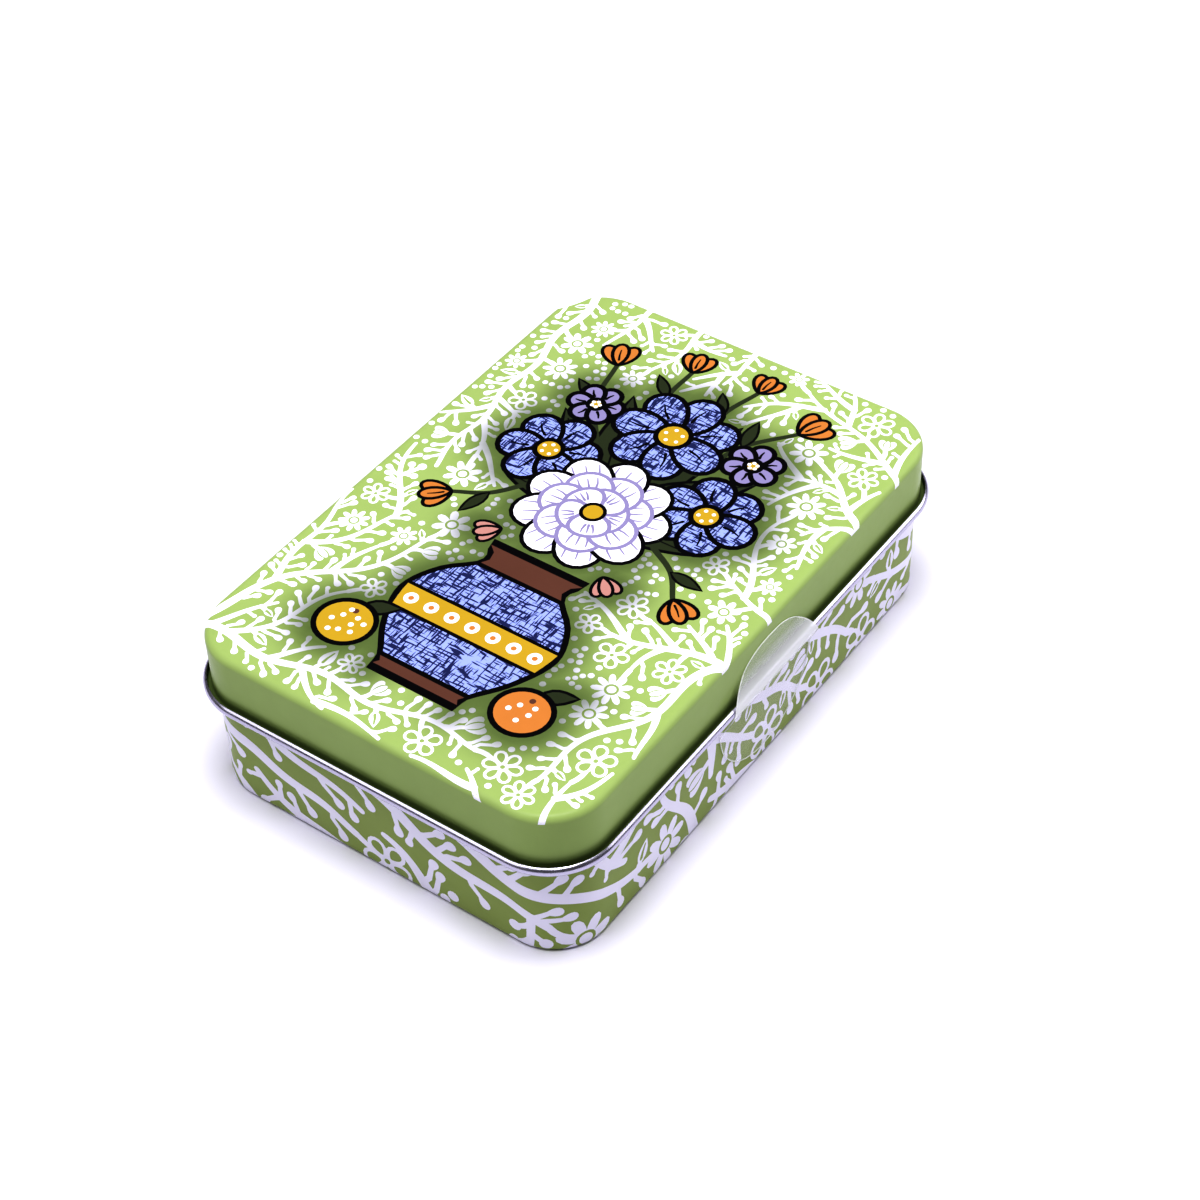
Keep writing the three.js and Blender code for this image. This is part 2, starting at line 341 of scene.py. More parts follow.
def cut_window(bm, low, high):
    """Opens both skins of the rear wall inside a box and closes the sheet's cut edge."""
    def inside(point):
        return all(a - MERGE < p < b + MERGE for a, p, b in zip(low, point, high))

    cut = [face for face in bm.faces if all(inside(v.co) for v in face.verts)]
    bmesh.ops.delete(bm, geom=cut, context="FACES")
    edge = [e for e in bm.edges if e.is_boundary and all(inside(v.co) for v in e.verts)]
    bmesh.ops.bridge_loops(bm, edges=edge)


def build_piece(name, bm, materials, body, replaced=()):
    """Makes a finished bmesh a piece that rides on a body, with its finishes, and hides the parts it
    replaces.
    """
    mesh = bpy.data.meshes.new(name)
    for face in bm.faces:
        face.smooth = True
    bm.to_mesh(mesh)
    bm.free()
    for material in materials:
        mesh.materials.append(material)
    mesh.set_sharp_from_angle(angle=SHARP)
    piece = bpy.data.objects.new(name, mesh)
    bpy.context.collection.objects.link(piece)
    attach(piece, body)
    if replaced:
        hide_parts(*replaced)
    return piece


def window_stops(tin, half_width):
    """Places along the rear where a hinge opening starts and ends."""
    return [middle + side * half_width for middle in tin.hinges for side in (-1, 1)]


def lid_skins(tin):
    """Profiles of the lid's printed side, which starts inside the bead, of its bead and of its bare side."""
    shoulder = (-tin.shoulder, tin.top - tin.shoulder)
    roll_end = 360 + LID_ROLL_END
    printed = [
        *arc(tin.bead, tin.bead_radius - SHEET, roll_end, 180, ROLL_STEPS),
        (0, tin.slot_low),
        (0, tin.slot_high),
        *((0, row) for row in tin.bead_rows),
        (0, tin.top - tin.shoulder - SUPPORT),
        *arc(shoulder, tin.shoulder, 0, 90, BEND_STEPS),
        (-tin.shoulder - SUPPORT, tin.top),
    ]
    bead = [printed[0], *arc(tin.bead, tin.bead_radius, roll_end, 180, ROLL_STEPS)]
    bare = [
        bead[-1],
        (-SHEET, tin.slot_low),
        (-SHEET, tin.slot_high),
        (-SHEET, tin.top - tin.shoulder - SUPPORT),
        *arc(shoulder, tin.shoulder - SHEET, 0, 90, BEND_STEPS),
        (-tin.shoulder - SUPPORT, tin.top - SHEET),
    ]
    return printed, bead, bare


def plane_across(axis, place):
    """The cutting plane square to an axis at a place along it."""
    point = [0, 0, 0]
    point[axis] = place
    normal = [0, 0, 0]
    normal[axis] = 1
    return {"plane_co": point, "plane_no": normal}


def grid_cuts(bm, face, spacing):
    """Divides a flat face into a grid, so that a soft shade can be stored on its points."""
    low = [min(v.co[i] for v in face.verts) for i in (0, 1)]
    high = [max(v.co[i] for v in face.verts) for i in (0, 1)]
    pieces = [face]
    for axis in (0, 1):
        count = int((high[axis] - low[axis]) / spacing)
        for step in range(1, count + 1):
            place = low[axis] + step * (high[axis] - low[axis]) / (count + 1)
            geom = {item for f in pieces for item in (*f.verts, *f.edges, f)}
            cut = bmesh.ops.bisect_plane(bm, geom=list(geom), dist=MERGE, **plane_across(axis, place))
            pieces = [item for item in cut["geom"] if isinstance(item, bmesh.types.BMFace)]


class TIN_OT_lid(bpy.types.Operator):
    """Model the drawn lid with its shoulder, skirt, rolled bead and hinge slots"""

    bl_idname = "tin.lid"
    bl_label = "Lid"

    def execute(self, context):
        tin = measure(context)
        sizes = context.scene.tin_sizes
        colours = context.scene.tin_colours
        half_slot = sizes.tongue_width / 2 + SLOT_PLAY
        bm = bmesh.new()
        for finish, skin in enumerate(lid_skins(tin)):
            carry_round(bm, tin, skin, finish, window_stops(tin, half_slot))
        top = close_flat(bm, tin.top, 0)
        close_flat(bm, tin.top - SHEET, 2)
        for middle in tin.hinges:
            low = (middle - half_slot, tin.half_y - 2 * SHEET, tin.slot_low)
            high = (middle + half_slot, tin.half_y + SHEET / 2, tin.slot_high)
            cut_window(bm, low, high)
        grid_cuts(bm, top, SHADE_GRID)
        bmesh.ops.recalc_face_normals(bm, faces=bm.faces[:])
        sheet = lid_print(sizes.lid_length, sizes.lid_width, sizes.corner_radius, colours.seed)
        store_shade(bm, sheet, lambda co: (-co.y / MM, co.x / MM))
        # Painted shade on the ink in and along the bead's groove, where the bead shades the skirt
        paint_bead_shade(bm, sizes.bead_height)
        green = lithographed_tinplate(
            "lithographed_tinplate_lid_green", colours.lid_green, colours.shade_green,
        )
        inside = bare_tinplate(colours, "bright_tinplate_lid", "YZ")
        finishes = [green, rolled_tinplate(colours), inside]
        build_piece("lid_sheet", bm, finishes, "lid", ["lid_shell"])
        return {"FINISHED"}


def body_skins(tin, sizes):
    """Profiles of the body's printed side, up from the foot flange, of its rim and of its bare side."""
    foot = (tin.wall - tin.foot, tin.foot)
    print_top = tin.rim[1] - sizes.bare_margin
    printed = [
        (tin.wall - sizes.foot_flange, 0),
        (tin.wall - tin.foot - SUPPORT, 0),
        *arc(foot, tin.foot, 270, 360, BEND_STEPS),
        (tin.wall, tin.foot + SUPPORT),
        (tin.wall, tin.window_low),
        (tin.wall, tin.neck_low),
        (tin.neck, tin.neck_high),
        (tin.neck, tin.window_high),
        (tin.neck, print_top),
    ]
    rim = [
        printed[-1],
        *arc(tin.rim, tin.rim_radius, 0, RIM_ROLL_END, ROLL_STEPS),
        *arc(tin.rim, tin.rim_radius - SHEET, RIM_ROLL_END, 0, ROLL_STEPS),
        (tin.neck - SHEET, print_top),
    ]
    bare = [
        rim[-1],
        (tin.neck - SHEET, tin.window_high),
        (tin.neck - SHEET, tin.neck_high),
        (tin.wall - SHEET, tin.neck_low),
        (tin.wall - SHEET, tin.window_low),
        (tin.wall - SHEET, tin.foot + SUPPORT),
        *arc(foot, tin.foot - SHEET, 360, 270, BEND_STEPS),
        (tin.wall - tin.foot - SUPPORT, SHEET),
        (tin.wall - sizes.foot_flange, SHEET),
        printed[0],
    ]
    return printed, rim, bare


def add_tongue(bm, tin, width, middle):
    """One hinge tongue: out of the window's lower edge, over the bead and round under it."""
    wall = tin.half_y + tin.wall
    pin = (tin.half_y + tin.bead[0], tin.bead[1])
    outer = tin.loop + SHEET
    outline = [
        (wall - SHEET, tin.window_low),
        (wall, tin.window_low),
        *arc(pin, tin.loop, 90, -90, ROLL_STEPS),
        (wall + TONGUE_END, pin[1] - tin.loop),
        (wall + TONGUE_END, pin[1] - outer),
        *arc(pin, outer, -90, 90, ROLL_STEPS),
        *arc((wall, tin.window_low), SHEET, 90, 180, BEND_STEPS)[:-1],
    ]
    face = bm.faces.new([bm.verts.new((middle - width / 2, y, z)) for y, z in outline])
    drawn = bmesh.ops.extrude_face_region(bm, geom=[face], use_keep_orig=True)["geom"]
    verts = [item for item in drawn if isinstance(item, bmesh.types.BMVert)]
    bmesh.ops.translate(bm, verts=verts, vec=(width, 0, 0))
    for face in {f for v in verts for f in v.link_faces} | {face}:
        face.material_index = 1


def add_seam(bm, tin, width):
    """The lock seam: folded sheet, two layers thick, on the inside of the rear wall."""
    wall = tin.half_y + tin.wall
    depth = 2 * SHEET
    inset = SHEET * 0.8
    low, high = tin.foot, tin.neck_low
    fold = bmesh.ops.create_cube(bm, size=1)["verts"]
    bmesh.ops.scale(bm, verts=fold, vec=(width, depth, high - low))
    bmesh.ops.translate(bm, verts=fold, vec=(0, wall - inset - depth / 2, (low + high) / 2))
    edges = {e for v in fold for e in v.link_edges}
    rounded = bmesh.ops.bevel(
        bm, geom=list(edges), offset=SHEET * 0.6, affect="EDGES", segments=3, profile=0.5, material=-1,
    )
    for face in {f for v in rounded["verts"] for f in v.link_faces}:
        face.material_index = 2


class TIN_OT_body(bpy.types.Operator):
    """Model the body wall with its foot flange, neck, rolled rim, lock seam and hinge tongues"""

    bl_idname = "tin.body"
    bl_label = "Body wall"

    def execute(self, context):
        tin = measure(context)
        sizes = context.scene.tin_sizes
        colours = context.scene.tin_colours
        half_window = sizes.tongue_width / 2 + WINDOW_PLAY
        bm = bmesh.new()
        for finish, skin in enumerate(body_skins(tin, sizes)):
            carry_round(bm, tin, skin, finish, window_stops(tin, half_window))
        for middle in tin.hinges:
            low = (middle - half_window, tin.half_y + tin.neck - 2 * SHEET, tin.window_low)
            high = (middle + half_window, tin.half_y + tin.wall + SHEET / 2, tin.window_high)
            cut_window(bm, low, high)
        for middle in tin.hinges:
            add_tongue(bm, tin, sizes.tongue_width, middle)
        add_seam(bm, tin, sizes.seam_width)
        bmesh.ops.recalc_face_normals(bm, faces=bm.faces[:])
        green = lithographed_tinplate("lithographed_tinplate_body_green", colours.body_green)
        finishes = [green, rolled_tinplate(colours), bare_tinplate(colours, "bright_tinplate_wall", "Z")]
        build_piece("body_sheet", bm, finishes, "body", ["body_wall"])
        return {"FINISHED"}


class TIN_OT_bottom(bpy.types.Operator):
    """Model the flat bottom plate that lies on the foot flange"""

    bl_idname = "tin.bottom"
    bl_label = "Bottom plate"

    def execute(self, context):
        tin = measure(context)
        colours = context.scene.tin_colours
        edge = PLATE_HIGH.x - tin.half_x
        low, high = PLATE_LOW.z, PLATE_HIGH.z
        burr = SHEET / 5
        bm = bmesh.new()
        profile = [
            (edge - burr - SUPPORT, low), (edge - burr, low), (edge, low + burr),
            (edge, high - burr), (edge - burr, high), (edge - burr - SUPPORT, high),
        ]
        carry_round(bm, tin, profile, 0)
        close_flat(bm, low, 0)
        close_flat(bm, high, 0)
        bmesh.ops.recalc_face_normals(bm, faces=bm.faces[:])
        plate = bare_tinplate(colours, "bright_tinplate_plate", "YZ")
        build_piece("bottom_sheet", bm, [plate], "body", ["bottom_plate"])
        return {"FINISHED"}


# Outlines for the print, in millimetres: arrays of points that run anticlockwise

def heading(angle):
    """A step of one millimetre in a direction."""
    return np.array((math.cos(angle), math.sin(angle)))


def bearing(run):
    """The direction of a step."""
    return math.atan2(run[1], run[0])


def ring(count, first):
    """Evenly spaced directions all round."""
    return [first + 2 * math.pi * k / count for k in range(count)]


def placed(outline, at, angle):
    """An outline turned about the origin and moved."""
    cos, sin = math.cos(angle), math.sin(angle)
    return outline @ np.array(((cos, sin), (-sin, cos))) + at


def disc(radius, at=(0, 0), sides=14):
    """A round spot."""
    angles = np.linspace(0, 2 * math.pi, sides, endpoint=False)
    return np.stack((np.cos(angles), np.sin(angles)), axis=1) * radius + at


def petal(length, width, taper=0.5, sides=16):
    """A petal from the origin along X, round at its tip. More taper draws its base to a point."""
    angles = np.linspace(0, 2 * math.pi, sides, endpoint=False)
    along = (1 - np.cos(angles)) / 2
    return np.stack((length * along, -width / 2 * np.sin(angles) * along ** taper), axis=1)


def leaf(length, width, sides=6):
    """A leaf from the origin along X, pointed at both ends."""
    t = np.linspace(0, 1, sides + 1)
    edge = np.stack((length * t, -width / 2 * np.sin(math.pi * t ** 0.85)), axis=1)
    back = edge[-2:0:-1] * (1, -1)
    return np.concatenate((edge, back))


def rounded_sheet(half, radius):
    """A rectangle round the origin with rounded corners."""
    turns = np.radians(np.linspace(0, 90, 13))
    quarter = np.stack((np.cos(turns), np.sin(turns)), axis=1) * radius
    corners = []
    for k, (x, y) in enumerate(((1, 1), (-1, 1), (-1, -1), (1, -1))):
        corners.append(placed(quarter, np.array((x, y)) * (half - radius), k * math.pi / 2))
    return np.concatenate(corners)


def stroke(path, width, end_width):
    """A drawn line with round ends, along a path, that thins or swells on its way."""
    run = np.gradient(path, axis=0)
    run /= np.linalg.norm(run, axis=1)[:, None]
    side = np.stack((-run[:, 1], run[:, 0]), axis=1)
    half = np.linspace(width, end_width, len(path))[:, None] / 2

    def cap(i, angles):
        turns = np.radians(angles)[:, None]
        return path[i] + half[i] * (np.cos(turns) * run[i] + np.sin(turns) * side[i])

    right, left = path - side * half, path + side * half
    return np.concatenate((right, cap(-1, (-45, 0, 45)), left[::-1], cap(0, (135, 180, 225))))


def smooth_path(points, steps=6):
    """A smooth curve through given points."""
    points = np.array(points, float)
    padded = np.concatenate((2 * points[:1] - points[1:2], points, 2 * points[-1:] - points[-2:-1]))
    t = np.linspace(0, 1, steps, endpoint=False)[:, None]
    runs = []
    for a, b, c, d in zip(padded, padded[1:], padded[2:], padded[3:]):
        bend = a - 2.5 * b + 2 * c - d / 2
        twist = 1.5 * (b - c) + (d - a) / 2
        runs.append(b + t * (c - a) / 2 + t ** 2 * bend + t ** 3 * twist)
    return np.concatenate((*runs, points[-1:]))


def grown(outline, margin):
    """An outline moved outwards all round."""
    run = np.roll(outline, -1, axis=0) - np.roll(outline, 1, axis=0)
    run /= np.linalg.norm(run, axis=1)[:, None]
    return outline + np.stack((run[:, 1], -run[:, 0]), axis=1) * margin


def covered(points, outline, margin):
    """Which points lie inside an outline or within a margin of it."""
    start, run = outline, np.roll(outline, -1, axis=0) - outline
    offset = points[:, None] - start
    along = np.clip((offset * run).sum(-1) / (run * run).sum(-1), 0, 1)
    gap = np.linalg.norm(offset - along[..., None] * run, axis=-1).min(axis=1)
    y = points[:, 1:2]
    end = start + run
    crosses = (start[:, 1] > y) != (end[:, 1] > y)
    slope = np.where(run[:, 1] == 0, 1, run[:, 1])
    left = points[:, :1] < start[:, 0] + run[:, 0] * (y - start[:, 1]) / slope
    return ((crosses & left).sum(axis=1) % 2 == 1) | (gap < margin)


class PrintSheet:
    """A flat printed sheet: its inked outlines in the order they are laid, and where ink already lies."""

    def __init__(self, low, high, wraps):
        self.low = np.array(low, float)
        self.high = np.array(high, float)
        self.count = np.round((self.high - self.low) / CELL).astype(int)
        self.wraps = wraps
        self.inked = np.zeros(self.count, bool)
        self.kept_clear = np.zeros(self.count, bool)
        self.border = np.zeros(self.count, bool)
        self.paper = np.array((self.low, (self.high[0], self.low[1]), self.high, (self.low[0], self.high[1])))
        self.shapes = []
        self.picture_edge = np.zeros((0, 2))

    def cells(self, points):
        """The grid cells that hold these points, leaving out points off the sheet."""
        index = np.floor((points - self.low) / CELL).astype(int)
        if self.wraps:
            index[:, 0] %= self.count[0]
        on_sheet = ((index >= 0) & (index < self.count)).all(axis=1)
        return tuple(index[on_sheet].T)

    def add(self, outline, ink):
        """Lays an outline over what is there."""
        self.shapes.append((outline, ink))

    def mark(self, outline, margin):
        """Remembers that an outline and a margin round it are inked."""
        low = outline.min(axis=0) - margin
        high = outline.max(axis=0) + margin + CELL
        axes = [np.arange(a, b, CELL) for a, b in zip(low, high)]
        points = np.stack(np.meshgrid(*axes, indexing="ij"), axis=-1).reshape(-1, 2)
        self.inked[self.cells(points[covered(points, outline, margin)])] = True

    def mark_path(self, grid, path, margin):
        """Remembers a band along a path."""
        reach = np.arange(-margin, margin + CELL, CELL)
        spots = np.stack(np.meshgrid(reach, reach), axis=-1).reshape(-1, 2)
        spots = spots[np.linalg.norm(spots, axis=1) <= margin]
        grid[self.cells((path[:, None] + spots).reshape(-1, 2))] = True

    def is_free(self, points, grid):
        """Whether none of these points lies on a marked cell."""
        return not grid[self.cells(points)].any()


# Growing vines

def wander(sheet, rng, start, angle, reach, clear):
    """A gently swaying path that stops before it meets other vines. Its first stretch may leave one."""
    sway = rng.uniform(0.05, 0.12)
    wave = rng.uniform(14, 30)
    phase = rng.uniform(0, 2 * math.pi)
    path = [np.array(start, float)]
    for step in range(1, int(reach / PATH_STEP)):
        gone = step * PATH_STEP
        angle += PATH_STEP * sway * math.sin(2 * math.pi * gone / wave + phase)
        point = path[-1] + heading(angle) * PATH_STEP
        grid = sheet.kept_clear if gone > LEAVING_BANDS * clear else sheet.inked
        ahead = point + heading(angle) * LOOK_AHEAD
        if gone > ROOT_STRETCH and not sheet.is_free(np.array((point, ahead)), grid):
            break
        inside = (sheet.low < point) & (point < sheet.high)
        inside = inside[1] if sheet.wraps else inside.all()
        if gone > EDGE_STRETCH and not (inside and sheet.is_free(point[None], sheet.border)):
            break
        path.append(point)
    return np.array(path)


def vine_start(sheet, rng, vines, roots):
    """A place and direction to start a vine: a root, or a side of an older vine."""
    if not vines or rng.random() < 0.35:
        x, y, turn = rng.choice(roots)
        return (x, y), turn + rng.uniform(-0.5, 0.5)
    path = rng.choice(vines)
    i = rng.randrange(2, len(path) - 2)
    run = path[i + 1] - path[i - 1]
    side = rng.choice((-1, 1))
    return path[i], bearing(run) + side * rng.uniform(0.5, 1.1)


def grow_vines(sheet, rng, roots, style):
    """Grows the longest vine of several tries, again and again, until no room is left for one."""
    vines = []
    flower = style.flower
    flowers = [(open_flower, flower * 0.8, flower), (daisy, flower * 0.75, flower * 0.95)]
    for _ in range(style.most_vines):
        tries = []
        for _ in range(style.tries):
            start, angle = vine_start(sheet, rng, vines, roots)
            tries.append(wander(sheet, rng, start, angle, style.reach, style.clear))
        path = max(tries, key=len)
        if len(path) * PATH_STEP < style.shortest:
            break
        crown = round(CROWN_RADII * flower / PATH_STEP)
        if len(path) > 2 * crown:
            path = path[:-crown]
        width = style.stem * (1.0 if len(vines) < MAIN_VINES else SIDE_VINE)
        sheet.add(stroke(path, width, width * VINE_TIP), WHITE)
        sheet.mark_path(sheet.inked, path, width / 2 + style.margin)
        sheet.mark_path(sheet.kept_clear, path, style.clear)
        cap_vine(sheet, rng, path, style)
        dress_vine(sheet, rng, path, style, flowers, FLOWER_SPACING * flower)
        sheet.kept_clear |= sheet.inked
        vines.append(path)
    return vines


# Motifs: each grows from the origin along X, as a list of outlines and their inks

def twig(length, width, rng):
    """A short stalk with a slight bow."""
    bow = rng.uniform(-0.12, 0.12) * length
    t = np.linspace(0, 1, 5)
    path = np.stack((length * t, 4 * bow * t * (1 - t)), axis=1)
    return stroke(path, width * 1.2, width)


def open_flower(rng, radius, line):
    """Five or six broad petals drawn as lines, round a dotted middle."""
    count = rng.choice((5, 6))
    first = rng.uniform(0, math.pi)
    spread = 2.3 if count == 5 else 2.0
    stalk = rng.uniform(1.0, 2.2)
    middle = np.array((stalk + radius, 0))
    shapes = [(twig(stalk + radius * 0.5, line, rng), WHITE)]
    for angle in ring(count, first):
        broad = radius * spread / 2.6
        shapes.append((placed(petal(radius, broad, 0.35), middle, angle), WHITE))
        hollow = petal(radius * 0.66 - line * 0.2, max(broad - 1.5 * line, broad * 0.35), 0.4)
        shapes.append((placed(hollow, middle + heading(angle) * radius * 0.25, angle), BARE))
    shapes.append((disc(radius * 0.26, middle), WHITE))
    shapes.append((disc(radius * 0.12, middle, 10), BARE))
    return shapes


def daisy(rng, radius, line):
    """A ring of slim solid petals with a bare ring and a dot in the middle."""
    count = rng.choice((7, 8, 9))
    first = rng.uniform(0, math.pi)
    stalk = rng.uniform(1.0, 2.2)
    middle = np.array((stalk + radius, 0))
    shapes = [(twig(stalk + radius * 0.6, line, rng), WHITE)]
    for angle in ring(count, first):
        shapes.append((placed(petal(radius, radius * 4.6 / count / 1.25, 0.5, 12), middle, angle), WHITE))
    shapes.append((disc(radius * 0.36, middle), BARE))
    shapes.append((disc(radius * 0.22, middle), WHITE))
    return shapes


def tulip(rng, radius, line):
    """A cup of three petals with two bare slits."""
    stalk = rng.uniform(1.2, 2.4)
    base = np.array((stalk, 0))
    long = radius * 1.7
    shapes = [(twig(stalk + 0.3, line, rng), WHITE)]
    for side in (-1, 1):
        shapes.append((placed(petal(long, radius * 0.95, 0.3), base, side * 0.42), WHITE))
    shapes.append((placed(petal(long * 0.95, radius * 0.95, 0.2), base, 0), BARE))
    shapes.append((placed(petal(long * 0.9, radius * 0.6, 0.2), base, 0), WHITE))
    return shapes


def leaf_spray(rng, length, line):
    """A twig with pairs of small leaves and one at its tip."""
    shapes = [(twig(length * 0.85, line, rng), WHITE)]
    pairs = max(2, round(length / (3.2 * line)))
    for k in range(pairs):
        place = np.array((length * (0.18 + 0.64 * k / pairs), 0))
        small = length * (0.42 - 0.14 * k / pairs)
        for side in (-1, 1):
            shapes.append((placed(leaf(small, small * 0.34), place, side * rng.uniform(0.75, 0.95)), WHITE))
    shapes.append((placed(leaf(length * 0.4, length * 0.17), np.array((length * 0.72, 0)), 0), WHITE))
    return shapes


def berry_twig(rng, length, line):
    """A twig with round berries on short stalks."""
    shapes = [(twig(length, line, rng), WHITE), (disc(line * 1.1, (length, 0)), WHITE)]
    for k, side in enumerate((-1, 1, -1)[:max(1, round(length / (2.6 * line)))]):
        place = np.array((length * (0.22 + 0.24 * k), 0))
        stalk = max(length * 0.42, line * 2.6)
        turn = side * 0.95
        shapes.append((placed(twig(stalk, line * 0.8, rng), place, turn), WHITE))
        shapes.append((disc(line * 0.95, place + heading(turn) * stalk), WHITE))
    return shapes


def drop_stalk(rng, length, line, angle=0.0):
    """One bowed stalk that swells into a round drop."""
    head = min(2.2 * line, 0.42 * length)
    start = length - head * 1.15
    bow = rng.uniform(-0.14, 0.14) * length
    stalk = np.array(((0.0, 0.0), (start / 2, bow), (start + 0.3 * head, 0.0)))
    return [
        (placed(stroke(stalk, line * 0.95, line * 0.7), np.zeros(2), angle), WHITE),
        (placed(petal(head * 1.25, head, 0.6), heading(angle) * start, angle), WHITE),
    ]


def drop_stalks(rng, length, line):
    """A fan of two or three stalks with drops."""
    count = rng.choice((2, 3))
    shapes = []
    for k in range(count):
        shapes += drop_stalk(rng, length * rng.uniform(0.8, 1.0), line, (k - (count - 1) / 2) * 0.85)
    return shapes


def veined_leaf(rng, length, line):
    """One leaf with a bare vein."""
    base = np.array((0.8, 0))
    shapes = [(twig(1.2, line, rng), WHITE), (placed(leaf(length, length * 0.48), base, 0), WHITE)]
    vein = np.array(((0.25, 0), (0.5, 0.02), (0.8, 0))) * length
    shapes.append((stroke(vein + base, line * 0.75, line * 0.4), BARE))
    return shapes


def try_motif(sheet, shapes, at, angle, margin, foot):
    """Inks a motif if it lies clear of other ink, apart from its foot, where it may leave a vine."""
    laid = [(placed(outline, at, angle), ink) for outline, ink in shapes]
    points = np.concatenate([outline for outline, _ in laid])
    away = np.linalg.norm(points - at, axis=1) > foot
    if not (sheet.is_free(points[away], sheet.inked) and sheet.is_free(points, sheet.border)):
        return False
    for outline, ink in laid:
        sheet.add(outline, ink)
    for outline, ink in laid:
        if ink == WHITE:
            sheet.mark(outline, margin)
    return True


def dress_vine(sheet, rng, path, style, motifs, spacing):
    """Sets motifs along a vine, on alternate sides, wherever they fit."""
    every = max(1, round(spacing / PATH_STEP))
    side = rng.choice((-1, 1))
    for i in range(rng.randrange(1, every + 1), len(path) - 1, every):
        run = path[i + 1] - path[i - 1]
        for turn in (side, -side):
            angle = bearing(run) + turn * rng.uniform(0.65, 1.25)
            motif, least, most = rng.choice(motifs)
            shapes = motif(rng, rng.uniform(least, most), style.twig)
            if try_motif(sheet, shapes, path[i], angle, style.margin, style.foot):
                break
        side = -side


def cap_vine(sheet, rng, path, style):
    """Ends a vine in a flower."""
    angle = bearing(path[-1] - path[-3])
    for radius in np.linspace(style.flower, style.flower * 0.55, 4):
        motif = rng.choice((open_flower, daisy))
        if try_motif(sheet, motif(rng, radius, style.twig), path[-1], angle, style.margin, style.foot):
            break


def random_place(sheet, rng):
    """A place anywhere on the sheet."""
    return np.array([rng.uniform(a, b) for a, b in zip(sheet.low, sheet.high)])


def scatter_dots(sheet, rng, style):
    """Fills what is left with dots, in short rows that grow smaller."""
    for _ in range(style.dot_tries):
        at = random_place(sheet, rng)
        angle = rng.uniform(0, 2 * math.pi)
        for share in (1.15, 1.05, 0.95, 0.85, 0.75, 0.65):
            radius = share * style.dot
            spot = disc(radius, at, 12)
            if not sheet.is_free(grown(spot, 0.1), sheet.inked):
                break
            sheet.add(spot, WHITE)
            sheet.mark(spot, style.margin * 0.8)
            at = at + heading(angle) * (1.9 * radius + style.margin)
            angle += rng.uniform(-0.3, 0.3)


def grow_pattern(sheet, rng, roots, style):
    """Covers a sheet with vines, flowers, leaves, berries and dots."""
    vines = grow_vines(sheet, rng, roots, style)
    sheet.inked |= sheet.border
    flower, line = style.flower, style.twig
    comb = 2.3 * line
    rounds = (
        (2.0 * flower, [(open_flower, flower * 0.65, flower * 0.8), (daisy, flower * 0.6, flower * 0.75)]),
        (1.6 * flower, [(leaf_spray, line * 7, line * 9), (tulip, flower * 0.5, flower * 0.65)]),
        (2 * comb, [
            (drop_stalks, line * 6, line * 8),
            (berry_twig, line * 6, line * 8),
            (veined_leaf, line * 5, line * 7),
        ]),
        (comb, [(drop_stalk, line * 4.5, line * 6.5)]),
        (comb, [(drop_stalk, line * 3, line * 4.5), (veined_leaf, line * 3.6, line * 4.6)]),
        (0.8 * comb, [(drop_stalk, line * 2.6, line * 3.2), (veined_leaf, line * 3, line * 3.6)]),
    )
    for spacing, motifs in rounds:
        for path in vines:
            dress_vine(sheet, rng, path, style, motifs, spacing)
    scatter_dots(sheet, rng, style)
    for i, (outline, ink) in enumerate(sheet.shapes):
        if ink == WHITE:
            sheet.shapes[i] = (grown(outline, style.spread), ink)


# The picture on the lid, in millimetres: right and up from the lid's middle

def paint(sheet, outline, ink, line=PICTURE_LINE):
    """A filled shape with a drawn line round it."""
    sheet.add(grown(outline, line), "outline")
    sheet.add(grown(outline, -line), ink)


def crease(sheet, points, length, at, angle, widths, ink):
    """A fine line along a petal or leaf, through points in shares of its length."""
    sheet.add(stroke(placed(np.array(points) * length, at, angle), *widths), ink)


def bloom(sheet, at, radius, count, ink, first=0.0, broad=2.9):
    """A ring of petals, each over the last one's edge, round a spotted yellow middle."""
    for angle in ring(count, first):
        paint(sheet, placed(petal(radius, radius * broad / count * 1.9, 0.3, 22), at, angle), ink)
        crease(sheet, ((0.42, 0), (0.58, 0.02), (0.74, 0)), radius, at, angle, (0.5, 0.25), "outline")
    paint(sheet, disc(radius * 0.27, at, 20), "yellow")
    for k in range(5):
        sheet.add(disc(0.34, at + heading(first + 1.26 * k) * radius * 0.14, 8), "pale")


def white_bloom(sheet, at, radius):
    """A full white bloom: three rings of ruffled petals with lavender creases."""
    for share, count, first in ((1.0, 9, 0.2), (0.72, 7, 0.5), (0.44, 5, 0.1)):
        for angle in ring(count, first):
            length = radius * share
            outline = placed(petal(length, length * 6.6 / count, 0.25, 24), at, angle)
            sheet.add(grown(outline, PICTURE_LINE), "outline" if share == 1.0 else "lavender")
            sheet.add(grown(outline, -PICTURE_LINE * 0.6), "pale")
            for lean in (-0.16, 0.0, 0.16):
                points = ((0.55, lean * 0.6), (0.72, lean), (0.86, lean * 1.1))
                crease(sheet, points, length, at, angle, (0.45, 0.2), "lavender")
    paint(sheet, disc(radius * 0.15, at, 16), "yellow", 0.3)


